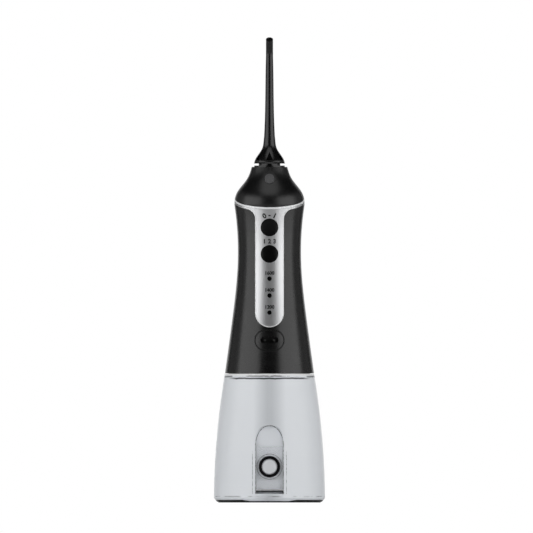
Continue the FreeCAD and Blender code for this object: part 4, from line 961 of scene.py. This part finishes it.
def soften(piece: bpy.types.Object, width: float, segments: int) -> None:
    """Round a piece's sharp edges.

    Args:
        piece: The object.
        width: The round's width.
        segments: Faces across it.
    """
    bevel = piece.modifiers.new("edge_round", "BEVEL")
    bevel.width = width
    bevel.segments = segments
    bevel.limit_method = "ANGLE"
    bevel.angle_limit = math.radians(42)
    bevel.harden_normals = True


@dataclass
class Tank(Assembly):
    """Frosted tank with its filling door, seal and foot ring."""

    def dress(self) -> None:
        """Give the tank's nodes their finishes."""
        nodes = self.frame["nodes"]
        self.wardrobe.dress(nodes["tank_shell"], Finish.CLEAR)
        self.wardrobe.dress(nodes["fill_door"], Finish.CLEAR, DoorPlastic())
        for name in ("foot_ring", "door_seal"):
            self.wardrobe.dress(nodes[name], Finish.RUBBER)
        self.wardrobe.dress(nodes["hinge_pin"], Finish.STEEL)


@dataclass
class Head(Assembly):
    """Nozzle with its seal, and the collar that it turns in."""

    def dress(self) -> None:
        """Give the head's nodes their finishes."""
        nodes = self.frame["nodes"]
        for name in ("jet_nozzle", "turning_collar"):
            self.wardrobe.dress(nodes[name], Finish.GLOSS)
        self.wardrobe.dress(nodes["stem_seal"], Finish.RUBBER)


@dataclass
class Works(Assembly):
    """Everything inside the grip: drive, pump, hoses, battery and board."""

    def dress(self) -> None:
        """Dress every node that has no finish yet by its slot in the record."""
        slots = {row["node"]: row["material_slot"] for row in self.frame["record"]["subparts"]}
        for name, node in self.frame["nodes"].items():
            if "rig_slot" not in node:
                self.wardrobe.dress(node, Finish(slots[name]))


# ------------------------------------------------------------------------------------ studio
@dataclass(frozen=True)
class SoftBox:
    """One soft box around the object, by its bearing from the camera's side."""

    name: str
    bearing: float
    rise: float
    away: float
    wide: float
    tall: float
    radiance: float

    def build(self, aim: Vector) -> None:
        """Hang the box and turn it to the object.

        Args:
            aim: The point that it faces.
        """
        bearing, rise = math.radians(self.bearing), math.radians(self.rise)
        way = Vector((math.sin(bearing) * math.cos(rise), -math.cos(bearing) * math.cos(rise),
                      math.sin(rise)))
        lamp = bpy.data.lights.new(self.name, "AREA")
        lamp.shape = "RECTANGLE"
        lamp.size, lamp.size_y = self.wide, self.tall
        lamp.energy = self.radiance * math.pi * self.wide * self.tall
        holder = bpy.data.objects.new(self.name, lamp)
        holder.location = aim + way * self.away
        holder.rotation_euler = (-way).to_track_quat("-Z", "Y").to_euler()
        bpy.context.scene.collection.objects.link(holder)


@dataclass
class Studio:
    """Pale floor, white surroundings, soft boxes and the camera."""

    scale: float = 0.3437
    shift_left: float = 1.93 * MM
    eye_up: float = 152.2 * MM
    eye_back: float = 1.5
    ambient: float = 0.03
    wall_from: float = 0.87
    wall_soft: float = 0.06
    floor_reach: float = 3.0
    aim: Vector = field(default_factory=lambda: Vector((0.0, 0.0, 0.15)))
    boxes: tuple[SoftBox, ...] = (
        SoftBox("left_box", -59.0, 1.0, 0.9, 1.12, 1.05, 1.85),
        SoftBox("right_box", 59.0, 1.0, 0.9, 1.12, 1.05, 1.85),
        SoftBox("left_fill", -108.0, 1.0, 0.9, 0.8, 1.05, 0.22),
        SoftBox("right_fill", 108.0, 1.0, 0.9, 0.8, 1.05, 0.22),
        SoftBox("top_box", 0.0, 68.0, 1.0, 0.8, 1.0, 1.15),
    )

    def build(self) -> None:
        """Set the stage."""
        self.build_world()
        self.build_floor()
        self.build_camera()
        for box in self.boxes:
            box.build(self.aim)
        bpy.context.scene.view_settings.view_transform = "Standard"

    def build_world(self) -> None:
        """White surroundings for the eye and through clear plastic, with a white wall behind for
        reflections, and a dim grey for the light."""
        graph = Graph("surroundings", world=True)
        camera, glossy, through = (graph.add("ShaderNodeLightPath", output=name) for name in
                                   ("Is Camera Ray", "Is Glossy Ray", "Is Transmission Ray"))
        away = graph.add("ShaderNodeTexCoord", output="Generated")
        wall = graph.add("ShaderNodeSeparateXYZ", {}, {0: away}, "Y").above(self.wall_from, self.wall_soft)
        seen = graph.maths("MAXIMUM", graph.maths("MAXIMUM", camera, through), glossy * wall)
        strength = self.ambient + seen * (1.0 - self.ambient)
        light = graph.add("ShaderNodeBackground", {}, {"Color": (1, 1, 1, 1), "Strength": strength})
        bpy.context.scene.world = graph.close(light)

    def build_floor(self) -> None:
        """A wide pale floor that keeps the object's shadow."""
        reach = self.floor_reach
        mesh = bpy.data.meshes.new("floor")
        mesh.from_pydata([(-reach, -reach, 0), (reach, -reach, 0), (reach, reach, 0), (-reach, reach, 0)], [],
                         [(0, 1, 2, 3)])
        floor = bpy.data.objects.new("floor", mesh)
        bpy.context.scene.collection.objects.link(floor)
        graph = Graph("pale_floor")
        speck = graph.noise(700.0, 2.0, 0.5)
        colour = graph.mix(speck * 0.2, (0.93, 0.93, 0.93), (0.90, 0.90, 0.90))
        seen = graph.add("ShaderNodeLightPath", output="Is Camera Ray")
        lift = graph.mix(seen, (0.0, 0.0, 0.0), (0.6, 0.6, 0.6))
        floor.data.materials.append(graph.surface(Base_Color=colour, Roughness=0.6 + (speck - 0.5) * 0.05,
                                                  Emission_Color=lift, Emission_Strength=1.0))
        floor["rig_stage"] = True

    def build_camera(self) -> None:
        """A long level view from the front."""
        lens = bpy.data.cameras.new("camera")
        lens.type = "ORTHO"
        lens.ortho_scale = self.scale
        lens.clip_end = 10.0
        camera = bpy.data.objects.new("camera", lens)
        camera.location = (-self.shift_left, -self.eye_back, self.eye_up)
        camera.rotation_euler = (math.radians(90), 0, 0)
        bpy.context.scene.collection.objects.link(camera)
        bpy.context.scene.camera = camera


def main() -> None:
    """Load the frame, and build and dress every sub-assembly."""
    logging.basicConfig(level=logging.INFO, format="%(name)s: %(message)s")
    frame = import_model()
    wardrobe = Wardrobe()
    Studio().build()
    assemblies = [Casing(frame, wardrobe), Marks(frame, wardrobe), Keys(frame, wardrobe),
                  Tank(frame, wardrobe), Head(frame, wardrobe), Works(frame, wardrobe)]
    for assembly in assemblies:
        assembly.build()
        assembly.dress()
        LOG.info("made %s", type(assembly).__name__)
    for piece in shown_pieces():
        LOG.info("%s: %d faces", piece.name, len(piece.data.polygons))


if __name__ == "__main__":
    main()
